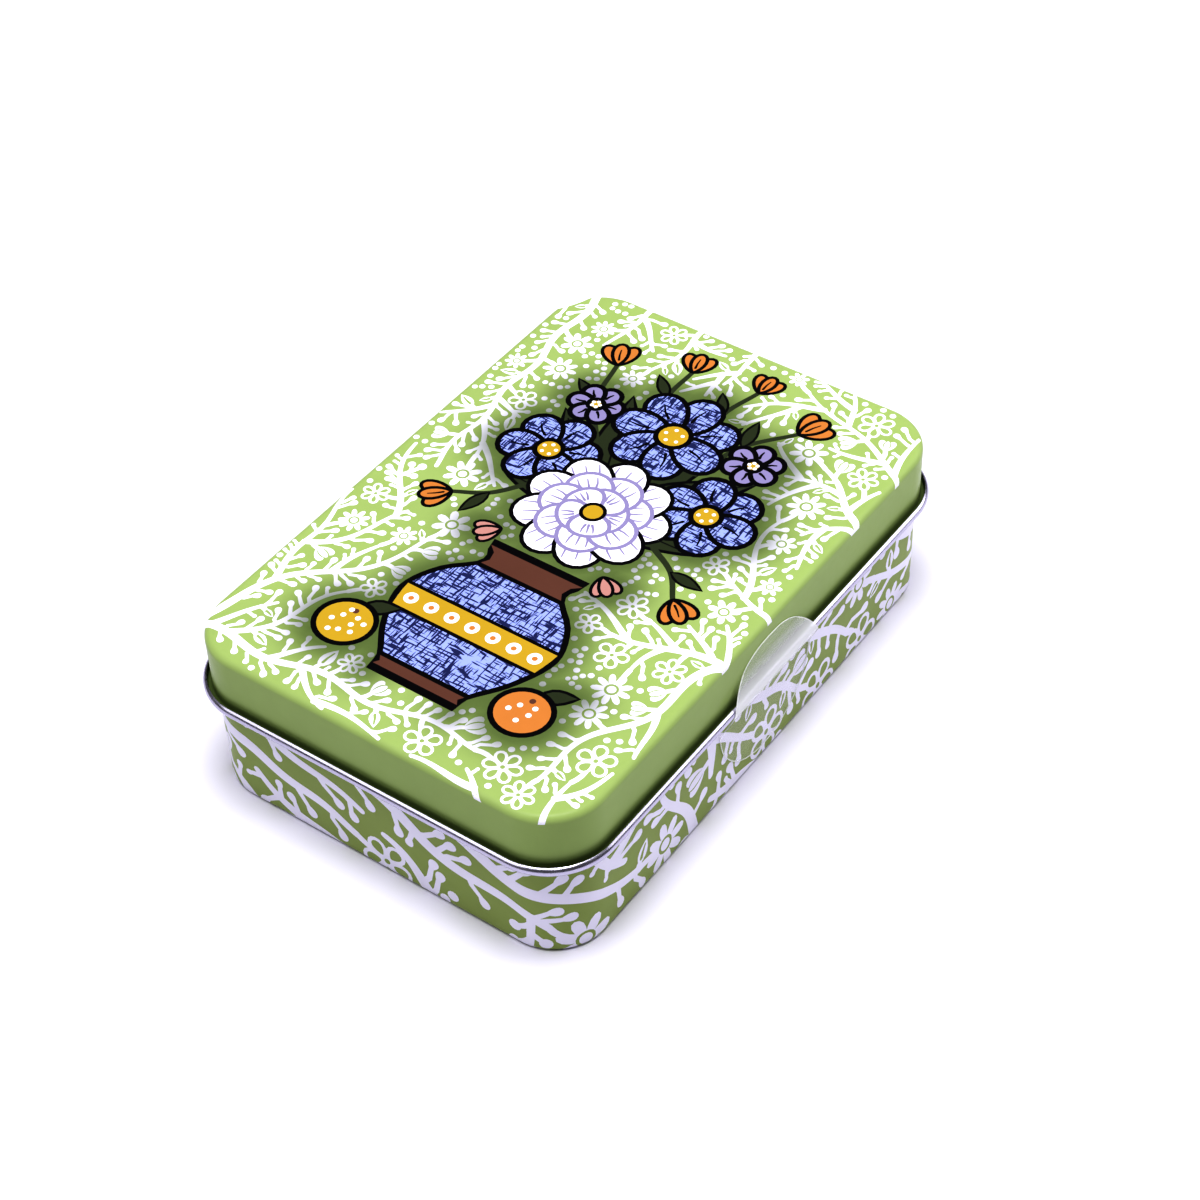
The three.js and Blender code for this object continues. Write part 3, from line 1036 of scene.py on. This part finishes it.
def picture_tulip(sheet, foot, at, scale):
    """An orange tulip on a dark stem with one leaf."""
    foot, at = np.array(foot, float), np.array(at, float)
    lean = at - foot
    angle = bearing(lean)
    bow = np.array((-lean[1], lean[0])) * 0.1
    stem = smooth_path((foot, foot + lean * 0.5 + bow, at))
    sheet.add(stroke(stem, 1.0, 0.8), "leaf")
    paint(sheet, placed(leaf(scale * 1.5, scale * 0.5), stem[len(stem) // 2], angle + 0.6), "leaf", 0.2)
    for side in (-0.5, 0.5, 0.0):
        paint(sheet, placed(petal(scale * 1.25, scale * 0.72, 0.25, 18), at, angle + side), "orange", 0.3)
    crease(sheet, ((0.3, 0), (0.6, 0.02), (0.9, 0)), scale, at, angle, (0.4, 0.2), "outline")


def vase_half_width(height):
    """Half the vase's width at heights up from its foot."""
    heights = (0, 2.4, 8, 15, 21, 25, 27.5, 30)
    widths = (7.6, 7.4, 11.2, 13.6, 11.4, 7.4, 6.9, 8.6)
    curve = smooth_path(list(zip(heights, widths)))
    return np.interp(height, curve[:, 0], curve[:, 1])


def vase_band(foot, low, high):
    """The stretch of the vase's outline between two heights above its foot."""
    heights = np.linspace(low, high, max(3, round((high - low) / 1.2)))
    right = np.stack((vase_half_width(heights), heights + foot), axis=1)
    left = right[::-1] * (-1, 1)
    return np.concatenate((right, left))


def draw_vase(sheet, foot):
    """A blue vase with a brown lip and foot and a yellow band of white spots."""
    sheet.add(grown(vase_band(foot, 0, 30), PICTURE_LINE * 1.6), "outline")
    sheet.add(grown(vase_band(foot, 2.9, 24.9), -PICTURE_LINE * 0.6), "blue")
    for low, high, ink in ((0.4, 2.6, "brown"), (25.2, 29.6, "brown"), (11.4, 16.4, "yellow")):
        sheet.add(grown(vase_band(foot, low - 0.6, high + 0.6), -0.25), "outline")
        sheet.add(grown(vase_band(foot, low, high), -0.25), ink)
    for k in range(-3, 4):
        place = (k * 3.7, foot + 13.9)
        sheet.add(disc(1.15, place, 16), "pale")
        sheet.add(disc(0.45, place, 10), "orange")


def fruit(sheet, at, radius, ink, spots):
    """A round fruit with a stalk end, a leaf and white spots."""
    at = np.array(at, float)
    paint(sheet, placed(leaf(radius * 1.3, radius * 0.6), at + (0, radius * 0.8), 0.5), "leaf", 0.25)
    paint(sheet, disc(radius, at, 30) * (1, 0.96) + at * (0, 0.04), ink)
    sheet.add(disc(0.5, at + (0, radius * 0.55), 10), "brown")
    for k in range(spots):
        place = at + heading(2.4 * k) * radius * 0.2 * math.sqrt(k + 1.5)
        sheet.add(disc(0.45, place, 10), "pale")


def draw_picture(sheet):
    """A vase of flowers between fruit: the still life in the middle of the lid."""
    foot = -39
    middle = np.array((0, 4.0))
    leaves = (
        (2.75, 21), (2.35, 25), (1.95, 28), (1.3, 30),
        (0.85, 26), (0.42, 22), (3.1, 17), (0.05, 18),
    )
    for angle, length in leaves:
        paint(sheet, placed(leaf(length, length * 0.27, 10), middle, angle), "leaf", 0.3)
        crease(sheet, ((0.3, 0), (0.6, 0.01), (0.9, 0)), length, middle, angle, (0.35, 0.2), "outline")
    tulips = (
        ((-9, 18), (-17, 35), 4.2), ((8, 20), (16, 36.5), 4.4), ((-12, 4), (-20.5, -3.5), 4.0),
        ((12, 3), (20.5, -4.5), 4.0), ((-3, 26), (-6, 40), 3.8), ((5, 26), (5.5, 41.5), 3.6),
    )
    for root, head, scale in tulips:
        picture_tulip(sheet, root, head, scale)
    painted = len(sheet.shapes)
    draw_vase(sheet, foot)
    fruit(sheet, (-16.0, foot + 4.8), 4.6, "yellow", 9)
    fruit(sheet, (15.8, foot + 4.6), 4.5, "orange", 5)
    blooms = (
        ((-14.0, 12.5), 8.2, 6, "blue", 0.3),
        ((14.6, 13.0), 8.6, 6, "blue", 0.9),
        ((0.2, 25.5), 10.2, 7, "blue", 0.55),
        ((-14.2, 25.2), 4.6, 6, "lavender", 0.2),
        ((14.2, 26.4), 4.8, 6, "lavender", 0.6),
    )
    for place, radius, petals, ink, first in blooms:
        bloom(sheet, np.array(place), radius, petals, ink, first)
    white_bloom(sheet, np.array((0.0, 4.5)), 12.2)
    for place, turn in (((-9.2, -6.0), 3.9), ((9.4, -6.2), 5.5)):
        for side in (-0.45, 0.45, 0.0):
            paint(sheet, placed(petal(4.2, 2.4, 0.3), np.array(place), turn + side), "pink", 0.25)
    sheet.picture_edge = np.concatenate([outline for outline, _ in sheet.shapes[painted:]])


@functools.lru_cache(maxsize=None)
def lid_print(length, width, corner, seed):
    """The lid's printed sheet, with right towards the front and up along the tin."""
    bleed = SHOULDER_BLEED
    high = np.array((width, length)) / MM / 2 + bleed
    sheet = PrintSheet(-high, high, False)
    sheet.paper = rounded_sheet(high, corner / MM + bleed)
    edge = rounded_sheet(high - 2 * bleed, corner / MM - bleed)
    places = (np.indices(sheet.count) + 0.5).reshape(2, -1).T * CELL + sheet.low
    sheet.border = ~covered(places, edge, 0).reshape(sheet.count)
    picture = PrintSheet(-high, high, False)
    draw_picture(picture)
    sheet.picture_edge = picture.picture_edge
    for outline, ink in picture.shapes:
        if ink in ("outline", "leaf"):
            sheet.mark(outline, 0)
    sheet.kept_clear |= sheet.inked
    rng = random.Random(seed)
    right, up = high
    off, inset = 1, 4
    roots = []
    for side in (-1, 1):
        for height in np.linspace(-up + inset, up - inset, 9):
            roots.append((side * (right + off), height, math.pi / 2 + side * math.pi / 2))
    for side in (-1, 1):
        for place in np.linspace(-right + inset, right - inset, 7):
            roots.append((place, side * (up + off), -side * math.pi / 2))
    grow_pattern(sheet, rng, roots, LID_STYLE)
    sheet.shapes += picture.shapes
    return sheet


def body_length(tin):
    """Once round the outside of the body wall, in millimetres."""
    corner = tin.corner_radius + tin.wall
    return (4 * tin.corner_x + 4 * tin.corner_y + 2 * math.pi * corner) / MM


def body_print(tin, seed):
    """The body's printed strip: right along the wall, once round, and up from the table."""
    around = body_length(tin)
    top = tin.window_low / MM
    sheet = PrintSheet((0, 0.1), (around, top), True)
    rng = random.Random(seed)
    off, lean, apart = 0.8, 0.7, 17
    roots = [(place, -off, math.pi / 2 + lean) for place in np.arange(4, around, apart)]
    roots += [(place, top + off, -math.pi / 2 + lean) for place in np.arange(12, around, apart)]
    grow_pattern(sheet, rng, roots, BODY_STYLE)
    for outline, ink in sheet.shapes[:]:
        if outline[:, 0].min() < 0:
            sheet.add(outline + (around, 0), ink)
        if outline[:, 0].max() > around:
            sheet.add(outline - (around, 0), ink)
    return sheet


# Laying the print on the metal

def inked_faces(sheet, inks):
    """A flat bmesh, in millimetres, of the parts of a sheet where one of these inks lies on top."""
    points, faces = [], []
    outlines = [sheet.paper, *(outline for outline, _ in sheet.shapes)]
    for outline in outlines:
        faces.append(range(len(points), len(points) + len(outline)))
        # Filling starts at the first edge, so that edge is one on the shape's broad flank.
        points += [Vector(point) for point in np.roll(outline, -(len(outline) // 4), axis=0)]
    places, _, triangles, _, _, under = delaunay_2d_cdt(
        points, [], [list(f) for f in faces], CDT_INSIDE, PRINT_MERGE, True,
    )
    bm = bmesh.new()
    verts = [bm.verts.new(place.to_3d()) for place in places]
    for triangle, layers in zip(triangles, under):
        on_paper = 0 in layers and max(layers) > 0
        ink = sheet.shapes[max(layers) - 1][1] if on_paper else BARE
        if ink in inks:
            face = bm.faces.new([verts[i] for i in triangle])
            face.material_index = inks.index(ink)
    bmesh.ops.delete(bm, geom=[v for v in bm.verts if not v.link_faces], context="VERTS")
    return bm


def score(bm, axis, places):
    """Cuts a flat print along lines where the sheet will bend."""
    for place in places:
        geom = bm.verts[:] + bm.edges[:] + bm.faces[:]
        bmesh.ops.bisect_plane(bm, geom=geom, dist=PRINT_MERGE, **plane_across(axis, place))


def thicken(bm, lay):
    """Gives a flat print a thin body that starts inside the sheet, and lays it on the metal."""
    bmesh.ops.recalc_face_normals(bm, faces=bm.faces[:])
    for face in bm.faces:
        if face.normal.z < 0:
            face.normal_flip()
    raised = bmesh.ops.extrude_face_region(bm, geom=bm.faces[:], use_keep_orig=True)["geom"]
    top = {item for item in raised if isinstance(item, bmesh.types.BMVert)}
    for vert in bm.verts:
        lift = INK_LIFT if vert in top else -INK_SINK
        vert.co = lay(vert.co.x, vert.co.y, lift) * MM
    bmesh.ops.recalc_face_normals(bm, faces=bm.faces[:])


def shoulder_fold(tin):
    """Says which way, and how far, a point of the lid's flat print lies past the start of the shoulder."""
    corner = (tin.corner_radius - tin.shoulder) / MM
    inner = (tin.corner_x / MM, tin.corner_y / MM)

    def fold(right, up):
        out = Vector((max(abs(up) - inner[0], 0), max(abs(right) - inner[1], 0)))
        return out, out.length - corner

    return fold


def lid_lay(tin):
    """How a point of the lid's flat print, in millimetres, comes to lie on the formed lid."""
    bend = tin.shoulder / MM
    top = tin.top / MM
    fold = shoulder_fold(tin)

    def lay(right, up, lift):
        x, y = up, -right
        out, past = fold(right, up)
        if past <= 0:
            return Vector((x, y, top + lift))
        way = out.normalized()
        way = Vector((math.copysign(way.x, x), math.copysign(way.y, y)))
        turn = min(past / bend, math.pi / 2)
        reach = (bend + lift) * math.sin(turn)
        down = max(past - bend * math.pi / 2, 0)
        place = Vector((x, y)) + way * (reach - past)
        return Vector((place.x, place.y, top - bend + (bend + lift) * math.cos(turn) - down))

    return lay


def body_lay(tin):
    """How a point of the body's flat print, in millimetres, comes to lie round the wall."""
    corner = (tin.corner_radius + tin.wall) / MM
    x, y = tin.corner_x / MM, tin.corner_y / MM
    foot = tin.foot / MM
    bend = corner * math.pi / 2
    runs = (
        (x, Vector((-x, y)), Vector((0, 1))),
        (2 * y, Vector((-x, -y)), Vector((-1, 0))),
        (2 * x, Vector((x, -y)), Vector((0, -1))),
        (2 * y, Vector((x, y)), Vector((1, 0))),
        (x, Vector((0, y)), Vector((0, 1))),
    )

    def lay(along, up, lift):
        turn = min(max(foot - up, 0) / foot, math.pi / 2)
        out = corner - foot + (foot + lift) * math.cos(turn)
        height = up if up > foot else foot - (foot + lift) * math.sin(turn)
        for length, pivot, side in runs:
            ahead = Vector((-side.y, side.x))
            if along <= length:
                place = pivot + side * out + ahead * (along - length)
                break
            along -= length
            if along <= bend:
                angle = along / corner
                place = pivot + (side * math.cos(angle) + ahead * math.sin(angle)) * out
                break
            along -= bend
        return Vector((place.x, place.y, height))

    return lay


def bend_lines(tin):
    """Places along the body's strip where its wall bends."""
    corner = (tin.corner_radius + tin.wall) / MM
    x, y = tin.corner_x / MM, tin.corner_y / MM
    bend = corner * math.pi / 2
    places = []
    start = x
    for straight in (2 * y, 2 * x, 2 * y, x):
        places += list(np.linspace(start, start + bend, CORNER_STEPS + 1))
        start += bend + straight
    return places


def store_shade(bm, sheet, flat):
    """Stores on each point how near the picture is, for the soft shade round it."""
    layer = bm.verts.layers.float.new("shade")
    for vert in bm.verts:
        gap = np.linalg.norm(sheet.picture_edge - flat(vert.co), axis=1).min()
        vert[layer] = math.exp(-(gap / PICTURE_SHADE) ** 2)


def paint_bead_shade(bm, bead_height):
    """Paints shade into the ink inside and along the bead: full in the groove, fading up the skirt above it.
    """
    layer = bm.verts.layers.float["shade"]
    for vert in bm.verts:
        rise = max(vert.co.z - bead_height - BEAD_SHADE_START, 0)
        vert[layer] = max(vert[layer], math.exp(-(rise / BEAD_SHADE_FADE) ** 2))


class TIN_OT_lid_print(bpy.types.Operator):
    """Print the white vines and the still life on the lid"""

    bl_idname = "tin.lid_print"
    bl_label = "Lid print"

    def execute(self, context):
        tin = measure(context)
        sizes = context.scene.tin_sizes
        colours = context.scene.tin_colours
        sheet = lid_print(sizes.lid_length, sizes.lid_width, sizes.corner_radius, colours.seed)
        vines = inked_faces(sheet, [WHITE])
        fold = shoulder_fold(tin)
        for _ in range(2):
            long = [e for e in vines.edges if e.calc_length() > FOLD_STEP]
            edges = [e for e in long if any(fold(*v.co.xy)[1] > -FOLD_START for v in e.verts)]
            bmesh.ops.subdivide_edges(vines, edges=edges, cuts=1)
            bmesh.ops.triangulate(vines, faces=vines.faces[:])
        store_shade(vines, sheet, lambda co: (co.x, co.y))
        thicken(vines, lid_lay(tin))
        white = lithographed_tinplate("litho_white_ink_lid", colours.white, colours.shade_green)
        build_piece("lid_vines", vines, [white], "lid")
        picture = inked_faces(sheet, PICTURE_INKS)
        thicken(picture, lid_lay(tin))
        build_piece("lid_picture", picture, picture_materials(colours), "lid")
        return {"FINISHED"}


class TIN_OT_body_print(bpy.types.Operator):
    """Print the white vines round the body"""

    bl_idname = "tin.body_print"
    bl_label = "Body print"

    def execute(self, context):
        tin = measure(context)
        colours = context.scene.tin_colours
        sheet = body_print(tin, colours.seed)
        vines = inked_faces(sheet, [WHITE])
        score(vines, 0, bend_lines(tin))
        score(vines, 1, (*FOOT_LINES, tin.foot / MM))
        thicken(vines, body_lay(tin))
        white = lithographed_tinplate("litho_white_ink_body", colours.white)
        build_piece("body_vines", vines, [white], "body")
        return {"FINISHED"}


# Seal

class TIN_OT_seal(bpy.types.Operator):
    """Model the round film seal, folded from the lid over the bead to the body"""

    bl_idname = "tin.seal"
    bl_label = "Film seal"

    def execute(self, context):
        tin = measure(context)
        sizes = context.scene.tin_sizes
        colours = context.scene.tin_colours
        face = tin.bead[0] + tin.bead_radius
        half_band = tin.bead_radius / 2
        bead = tin.bead[1]
        run = [
            Vector((0, SEAL_HIGH.z)),
            Vector((0, bead + sizes.seal_tent_above)),
            Vector((face, bead + half_band)),
            Vector((face, bead - half_band)),
            Vector((tin.wall, bead - sizes.seal_tent_below)),
            Vector((tin.wall, 0)),
        ]
        lengths = [0.0]
        for here, there in zip(run, run[1:]):
            lengths.append(lengths[-1] + (there - here).length)

        def along(distance):
            """The film's (offset, height), with its folds eased over a short stretch."""
            soft = np.linspace(-FILM_EASE, FILM_EASE, 7)
            offsets = np.interp(distance + soft, lengths, [p.x for p in run])
            return offsets.mean(), np.interp(distance + soft, lengths, [p.y for p in run]).mean()

        radius = sizes.seal_diameter / 2
        bm = bmesh.new()
        bmesh.ops.create_circle(bm, cap_ends=True, radius=radius, segments=FILM_SIDES)
        bmesh.ops.inset_region(bm, faces=bm.faces[:], thickness=FILM_EDGE, use_boundary=True)
        for step in np.arange(-radius, radius, FILM_STEP):
            geom = bm.verts[:] + bm.edges[:] + bm.faces[:]
            bmesh.ops.bisect_plane(bm, geom=geom, dist=MERGE, **plane_across(1, step))
        for vert in bm.verts:
            offset, height = along(radius - vert.co.y)
            vert.co = (vert.co.x, -tin.half_y - offset - sizes.seal_gap - sizes.seal_film, height)
        bmesh.ops.recalc_face_normals(bm, faces=bm.faces[:])
        if sum(f.normal.y for f in bm.faces) > 0:
            bmesh.ops.reverse_faces(bm, faces=bm.faces[:])
        haze = bm.verts.layers.float.new("haze")
        rises = (-sizes.seal_tent_below, -half_band, half_band, sizes.seal_tent_above)
        heights = [bead + rise for rise in rises]
        for vert in bm.verts:
            vert[haze] = np.interp(vert.co.z, heights, FILM_HAZE)
            if vert.is_boundary:
                vert[haze] = FILM_EDGE_HAZE
        bmesh.ops.solidify(bm, geom=bm.faces[:], thickness=sizes.seal_film)
        build_piece("seal_film", bm, [clear_film(colours)], "lid", ["seal_sticker"])
        return {"FINISHED"}


# Materials

def fill(tree, node, inputs):
    """Sets or links a node's inputs."""
    for name, value in inputs.items():
        if isinstance(value, bpy.types.NodeSocket):
            tree.links.new(value, node.inputs[name])
        else:
            node.inputs[name].default_value = value


def add_node(tree, kind, inputs=None, **settings):
    """Adds a node with its settings and inputs."""
    node = tree.nodes.new(kind)
    for name, value in settings.items():
        setattr(node, name, value)
    fill(tree, node, inputs or {})
    return node


def new_material(name):
    """A material, its node tree, its shader and the place on the piece that its patterns read."""
    material = bpy.data.materials.new(name)
    material.use_nodes = True
    tree = material.node_tree
    tree.nodes.clear()
    place = add_node(tree, "ShaderNodeTexCoord").outputs["Object"]
    shader = add_node(tree, "ShaderNodeBsdfPrincipled")
    add_node(tree, "ShaderNodeOutputMaterial", {"Surface": shader.outputs["BSDF"]})
    return material, tree, shader, place


def per_metre(millimetres):
    """The texture scale that repeats about once in a length."""
    return 1 / (millimetres * MM)


def crossed_threads(tree, place):
    """A printed weave: short threads that cross, each about 3 mm long and a third of a millimetre wide."""
    threads = []
    for long_axis in (0, 1):
        scale = [per_metre(0.34)] * 3
        scale[long_axis] = per_metre(2.6)
        run = add_node(tree, "ShaderNodeMapping", {"Vector": place, "Scale": scale})
        noise = add_node(
            tree, "ShaderNodeTexNoise", {"Vector": run.outputs["Vector"], "Scale": 1.0, "Detail": 1.0},
        )
        threads.append(add_node(
            tree, "ShaderNodeMapRange",
            {"Value": noise.outputs["Fac"], "From Min": 0.53, "From Max": 0.58},
        ).outputs["Result"])
    crossed = add_node(tree, "ShaderNodeMath", {0: threads[0], 1: threads[1]}, operation="MAXIMUM")
    return crossed.outputs["Value"]


def lithographed_tinplate(name, ink, shade=None, threads=None):
    """Ink stoved on tinplate under a satin varnish: an even colour with a soft, slightly uneven sheen."""
    material, tree, shader, place = new_material(name)
    mottle = add_node(
        tree, "ShaderNodeTexNoise", {"Vector": place, "Scale": per_metre(9), "Detail": 3.0, "Roughness": 0.6},
    )
    tone = add_node(
        tree, "ShaderNodeMapRange",
        {"Value": mottle.outputs["Fac"], "From Min": 0.3, "From Max": 0.7, "To Min": 0.97, "To Max": 1.03},
    )
    base = add_node(
        tree, "ShaderNodeVectorMath", {0: ink[:], 1: tone.outputs["Result"]}, operation="MULTIPLY",
    ).outputs["Vector"]
    # The shade attribute holds the printed airbrush shade round the picture and, on the lid, painted shade
    # along the bead
    if shade is not None:
        near = add_node(tree, "ShaderNodeAttribute", attribute_name="shade")
        depth = add_node(
            tree, "ShaderNodeMapRange", {"Value": near.outputs["Fac"], "To Max": 0.8},
        )
        shaded = add_node(
            tree, "ShaderNodeMix",
            {"Factor": depth.outputs["Result"], "A": base, "B": (*shade[:], 1)},
            data_type="RGBA", blend_type="MIX",
        )
        base = shaded.outputs["Result"]
    if threads is not None:
        woven = add_node(
            tree, "ShaderNodeMix",
            {"Factor": crossed_threads(tree, place), "A": base, "B": (*threads[:], 1)},
            data_type="RGBA", blend_type="MIX",
        )
        base = woven.outputs["Result"]
    peel = add_node(
        tree, "ShaderNodeTexNoise", {"Vector": place, "Scale": per_metre(0.9), "Detail": 2.0},
    )
    sheen = add_node(
        tree, "ShaderNodeMapRange",
        {"Value": peel.outputs["Fac"], "From Min": 0.3, "From Max": 0.7, "To Min": 0.28, "To Max": 0.36},
    )
    bump = add_node(
        tree, "ShaderNodeBump", {"Height": peel.outputs["Fac"], "Strength": 0.05, "Distance": 0.02 * MM},
    )
    fill(tree, shader, {
        "Base Color": base,
        "Roughness": sheen.outputs["Result"],
        "Normal": bump.outputs["Normal"],
        "IOR": 1.5,
        "Specular IOR Level": 0.1,
    })
    return material


def picture_materials(colours):
    """One lithographed ink for each colour of the picture, the blue one with navy threads in it."""
    threads = {"blue": colours.navy}
    return [
        lithographed_tinplate(f"litho_{ink}_ink", getattr(colours, ink), threads=threads.get(ink))
        for ink in PICTURE_INKS
    ]


def bare_tinplate(colours, name, across):
    """Bright tinplate: a cool satin silver with fine rolling lines, close together along the axes named."""
    material, tree, shader, place = new_material(name)
    scale = [per_metre(0.35 if axis in across else 14) for axis in "XYZ"]
    stretched = add_node(tree, "ShaderNodeMapping", {"Vector": place, "Scale": scale})
    lines = add_node(
        tree, "ShaderNodeTexNoise", {"Vector": stretched.outputs["Vector"], "Scale": 1.0, "Detail": 3.0},
    )
    gloss = add_node(
        tree, "ShaderNodeMapRange",
        {"Value": lines.outputs["Fac"], "From Min": 0.3, "From Max": 0.7, "To Min": 0.3, "To Max": 0.46},
    )
    bump = add_node(
        tree, "ShaderNodeBump", {"Height": lines.outputs["Fac"], "Strength": 0.06, "Distance": 0.02 * MM},
    )
    fill(tree, shader, {
        "Base Color": (*colours.tinplate, 1),
        "Metallic": 1.0,
        "Roughness": gloss.outputs["Result"],
        "Normal": bump.outputs["Normal"],
    })
    return material


def rolled_tinplate(colours):
    """Tinplate burnished by the rolling dies: a smooth bright edge that mirrors the studio in soft bands."""
    material, tree, shader, place = new_material("burnished_tinplate_edge")
    dulling = add_node(
        tree, "ShaderNodeTexNoise", {"Vector": place, "Scale": per_metre(2.5), "Detail": 2.0},
    )
    gloss = add_node(
        tree, "ShaderNodeMapRange",
        {"Value": dulling.outputs["Fac"], "From Min": 0.35, "From Max": 0.65, "To Min": 0.2, "To Max": 0.3},
    )
    fill(tree, shader, {
        "Base Color": (*colours.tinplate, 1),
        "Metallic": 1.0,
        "Roughness": gloss.outputs["Result"],
    })
    return material


def clear_film(colours):
    """Clear polyester film: seen by its gloss, and by a grey haze where no adhesive holds it to the metal."""
    material, tree, shader, place = new_material("clear_polyester_film")
    haze = add_node(tree, "ShaderNodeAttribute", attribute_name="haze")
    ripple = add_node(
        tree, "ShaderNodeTexNoise", {"Vector": place, "Scale": per_metre(6), "Detail": 2.0},
    )
    bump = add_node(
        tree, "ShaderNodeBump", {"Height": ripple.outputs["Fac"], "Strength": 0.15, "Distance": 0.2 * MM},
    )
    fill(tree, shader, {
        "Base Color": (*colours.film, 1),
        "Roughness": 0.08,
        "IOR": 1.57,
        "Alpha": haze.outputs["Fac"],
        "Normal": bump.outputs["Normal"],
    })
    return material


def table_paint(studio):
    """Matt white table paint with a lavender cast in shade. Far away it glows, so no horizon shows."""
    material, tree, shader, place = new_material("matt_table_paint")
    away = add_node(tree, "ShaderNodeVectorMath", {"Vector": place}, operation="LENGTH")
    glow = add_node(
        tree, "ShaderNodeMapRange",
        {"Value": away.outputs["Value"], "From Min": GLOW_START, "From Max": GLOW_FULL, "To Max": GLOW},
    )
    fill(tree, shader, {
        "Base Color": (*studio.floor, 1),
        "Roughness": 0.9,
        "Emission Color": (1, 1, 1, 1),
        "Emission Strength": glow.outputs["Result"],
    })
    return material


# Studio

def add_light(scene, name, watts, width, place):
    """A round soft light that faces the tin."""
    light = bpy.data.lights.new(name, "AREA")
    light.shape = "DISK"
    light.size = width
    light.energy = watts
    lamp = bpy.data.objects.new(name, light)
    lamp.matrix_world = Matrix.Translation(place) @ place.to_track_quat("Z", "Y").to_matrix().to_4x4()
    scene.collection.objects.link(lamp)


class TIN_OT_stage(bpy.types.Operator):
    """Set up the pale floor, the soft light and the camera"""

    bl_idname = "tin.stage"
    bl_label = "Studio"

    def execute(self, context):
        scene = context.scene
        studio = scene.tin_studio
        bm = bmesh.new()
        bmesh.ops.create_grid(bm, x_segments=1, y_segments=1, size=FLOOR_HALF)
        mesh = bpy.data.meshes.new("floor")
        bm.to_mesh(mesh)
        bm.free()
        mesh.materials.append(table_paint(studio))
        floor = bpy.data.objects.new("floor", mesh)
        scene.collection.objects.link(floor)
        for name, power_name, width, place in LIGHTS:
            add_light(scene, name, getattr(studio, power_name), width, Vector(place))
        world = bpy.data.worlds.new("white_room")
        world.use_nodes = True
        room = world.node_tree.nodes["Background"]
        room.inputs["Color"].default_value = (1, 1, 1, 1)
        room.inputs["Strength"].default_value = studio.room
        scene.world = world
        scene.view_settings.view_transform = "Standard"
        scene.view_settings.look = "High Contrast"
        camera = bpy.data.cameras.new("camera")
        camera.lens = studio.lens
        camera.sensor_width = SENSOR
        camera.clip_start = 0.01
        eye = bpy.data.objects.new("camera", camera)
        turn = Matrix.Rotation(studio.azimuth, 4, "Z")
        tilt = Matrix.Rotation(math.pi / 2 - studio.elevation, 4, "X")
        roll = Matrix.Rotation(studio.roll, 4, "Z")
        back = Matrix.Translation((0, 0, studio.distance))
        target = Vector(CAMERA_TARGET) * MM
        eye.matrix_world = Matrix.Translation(target) @ turn @ tilt @ roll @ back
        scene.collection.objects.link(eye)
        scene.camera = eye
        return {"FINISHED"}


class TIN_PT_sidebar(bpy.types.Panel):
    """Lists the steps that build the tin and its studio"""

    bl_label = "Trinket tin"
    bl_idname = "TIN_PT_sidebar"
    bl_space_type = "VIEW_3D"
    bl_region_type = "UI"
    bl_category = "Tin"

    def draw(self, context):
        for operator in OPERATORS:
            self.layout.operator(operator.bl_idname)


OPERATORS = (
    TIN_OT_lid, TIN_OT_body, TIN_OT_bottom, TIN_OT_lid_print, TIN_OT_body_print, TIN_OT_seal, TIN_OT_stage,
)
CLASSES = (TinSizes, TinColours, TinStudio, *OPERATORS, TIN_PT_sidebar)


def register():
    for cls in CLASSES:
        bpy.utils.register_class(cls)
    bpy.types.Scene.tin_sizes = PointerProperty(type=TinSizes)
    bpy.types.Scene.tin_colours = PointerProperty(type=TinColours)
    bpy.types.Scene.tin_studio = PointerProperty(type=TinStudio)


def unregister():
    del bpy.types.Scene.tin_studio
    del bpy.types.Scene.tin_colours
    del bpy.types.Scene.tin_sizes
    for cls in reversed(CLASSES):
        bpy.utils.unregister_class(cls)


def main():
    register()
    bpy.ops.tin.lid()
    bpy.ops.tin.body()
    bpy.ops.tin.bottom()
    bpy.ops.tin.lid_print()
    bpy.ops.tin.body_print()
    bpy.ops.tin.seal()
    bpy.ops.tin.stage()


if __name__ == "__main__":
    main()
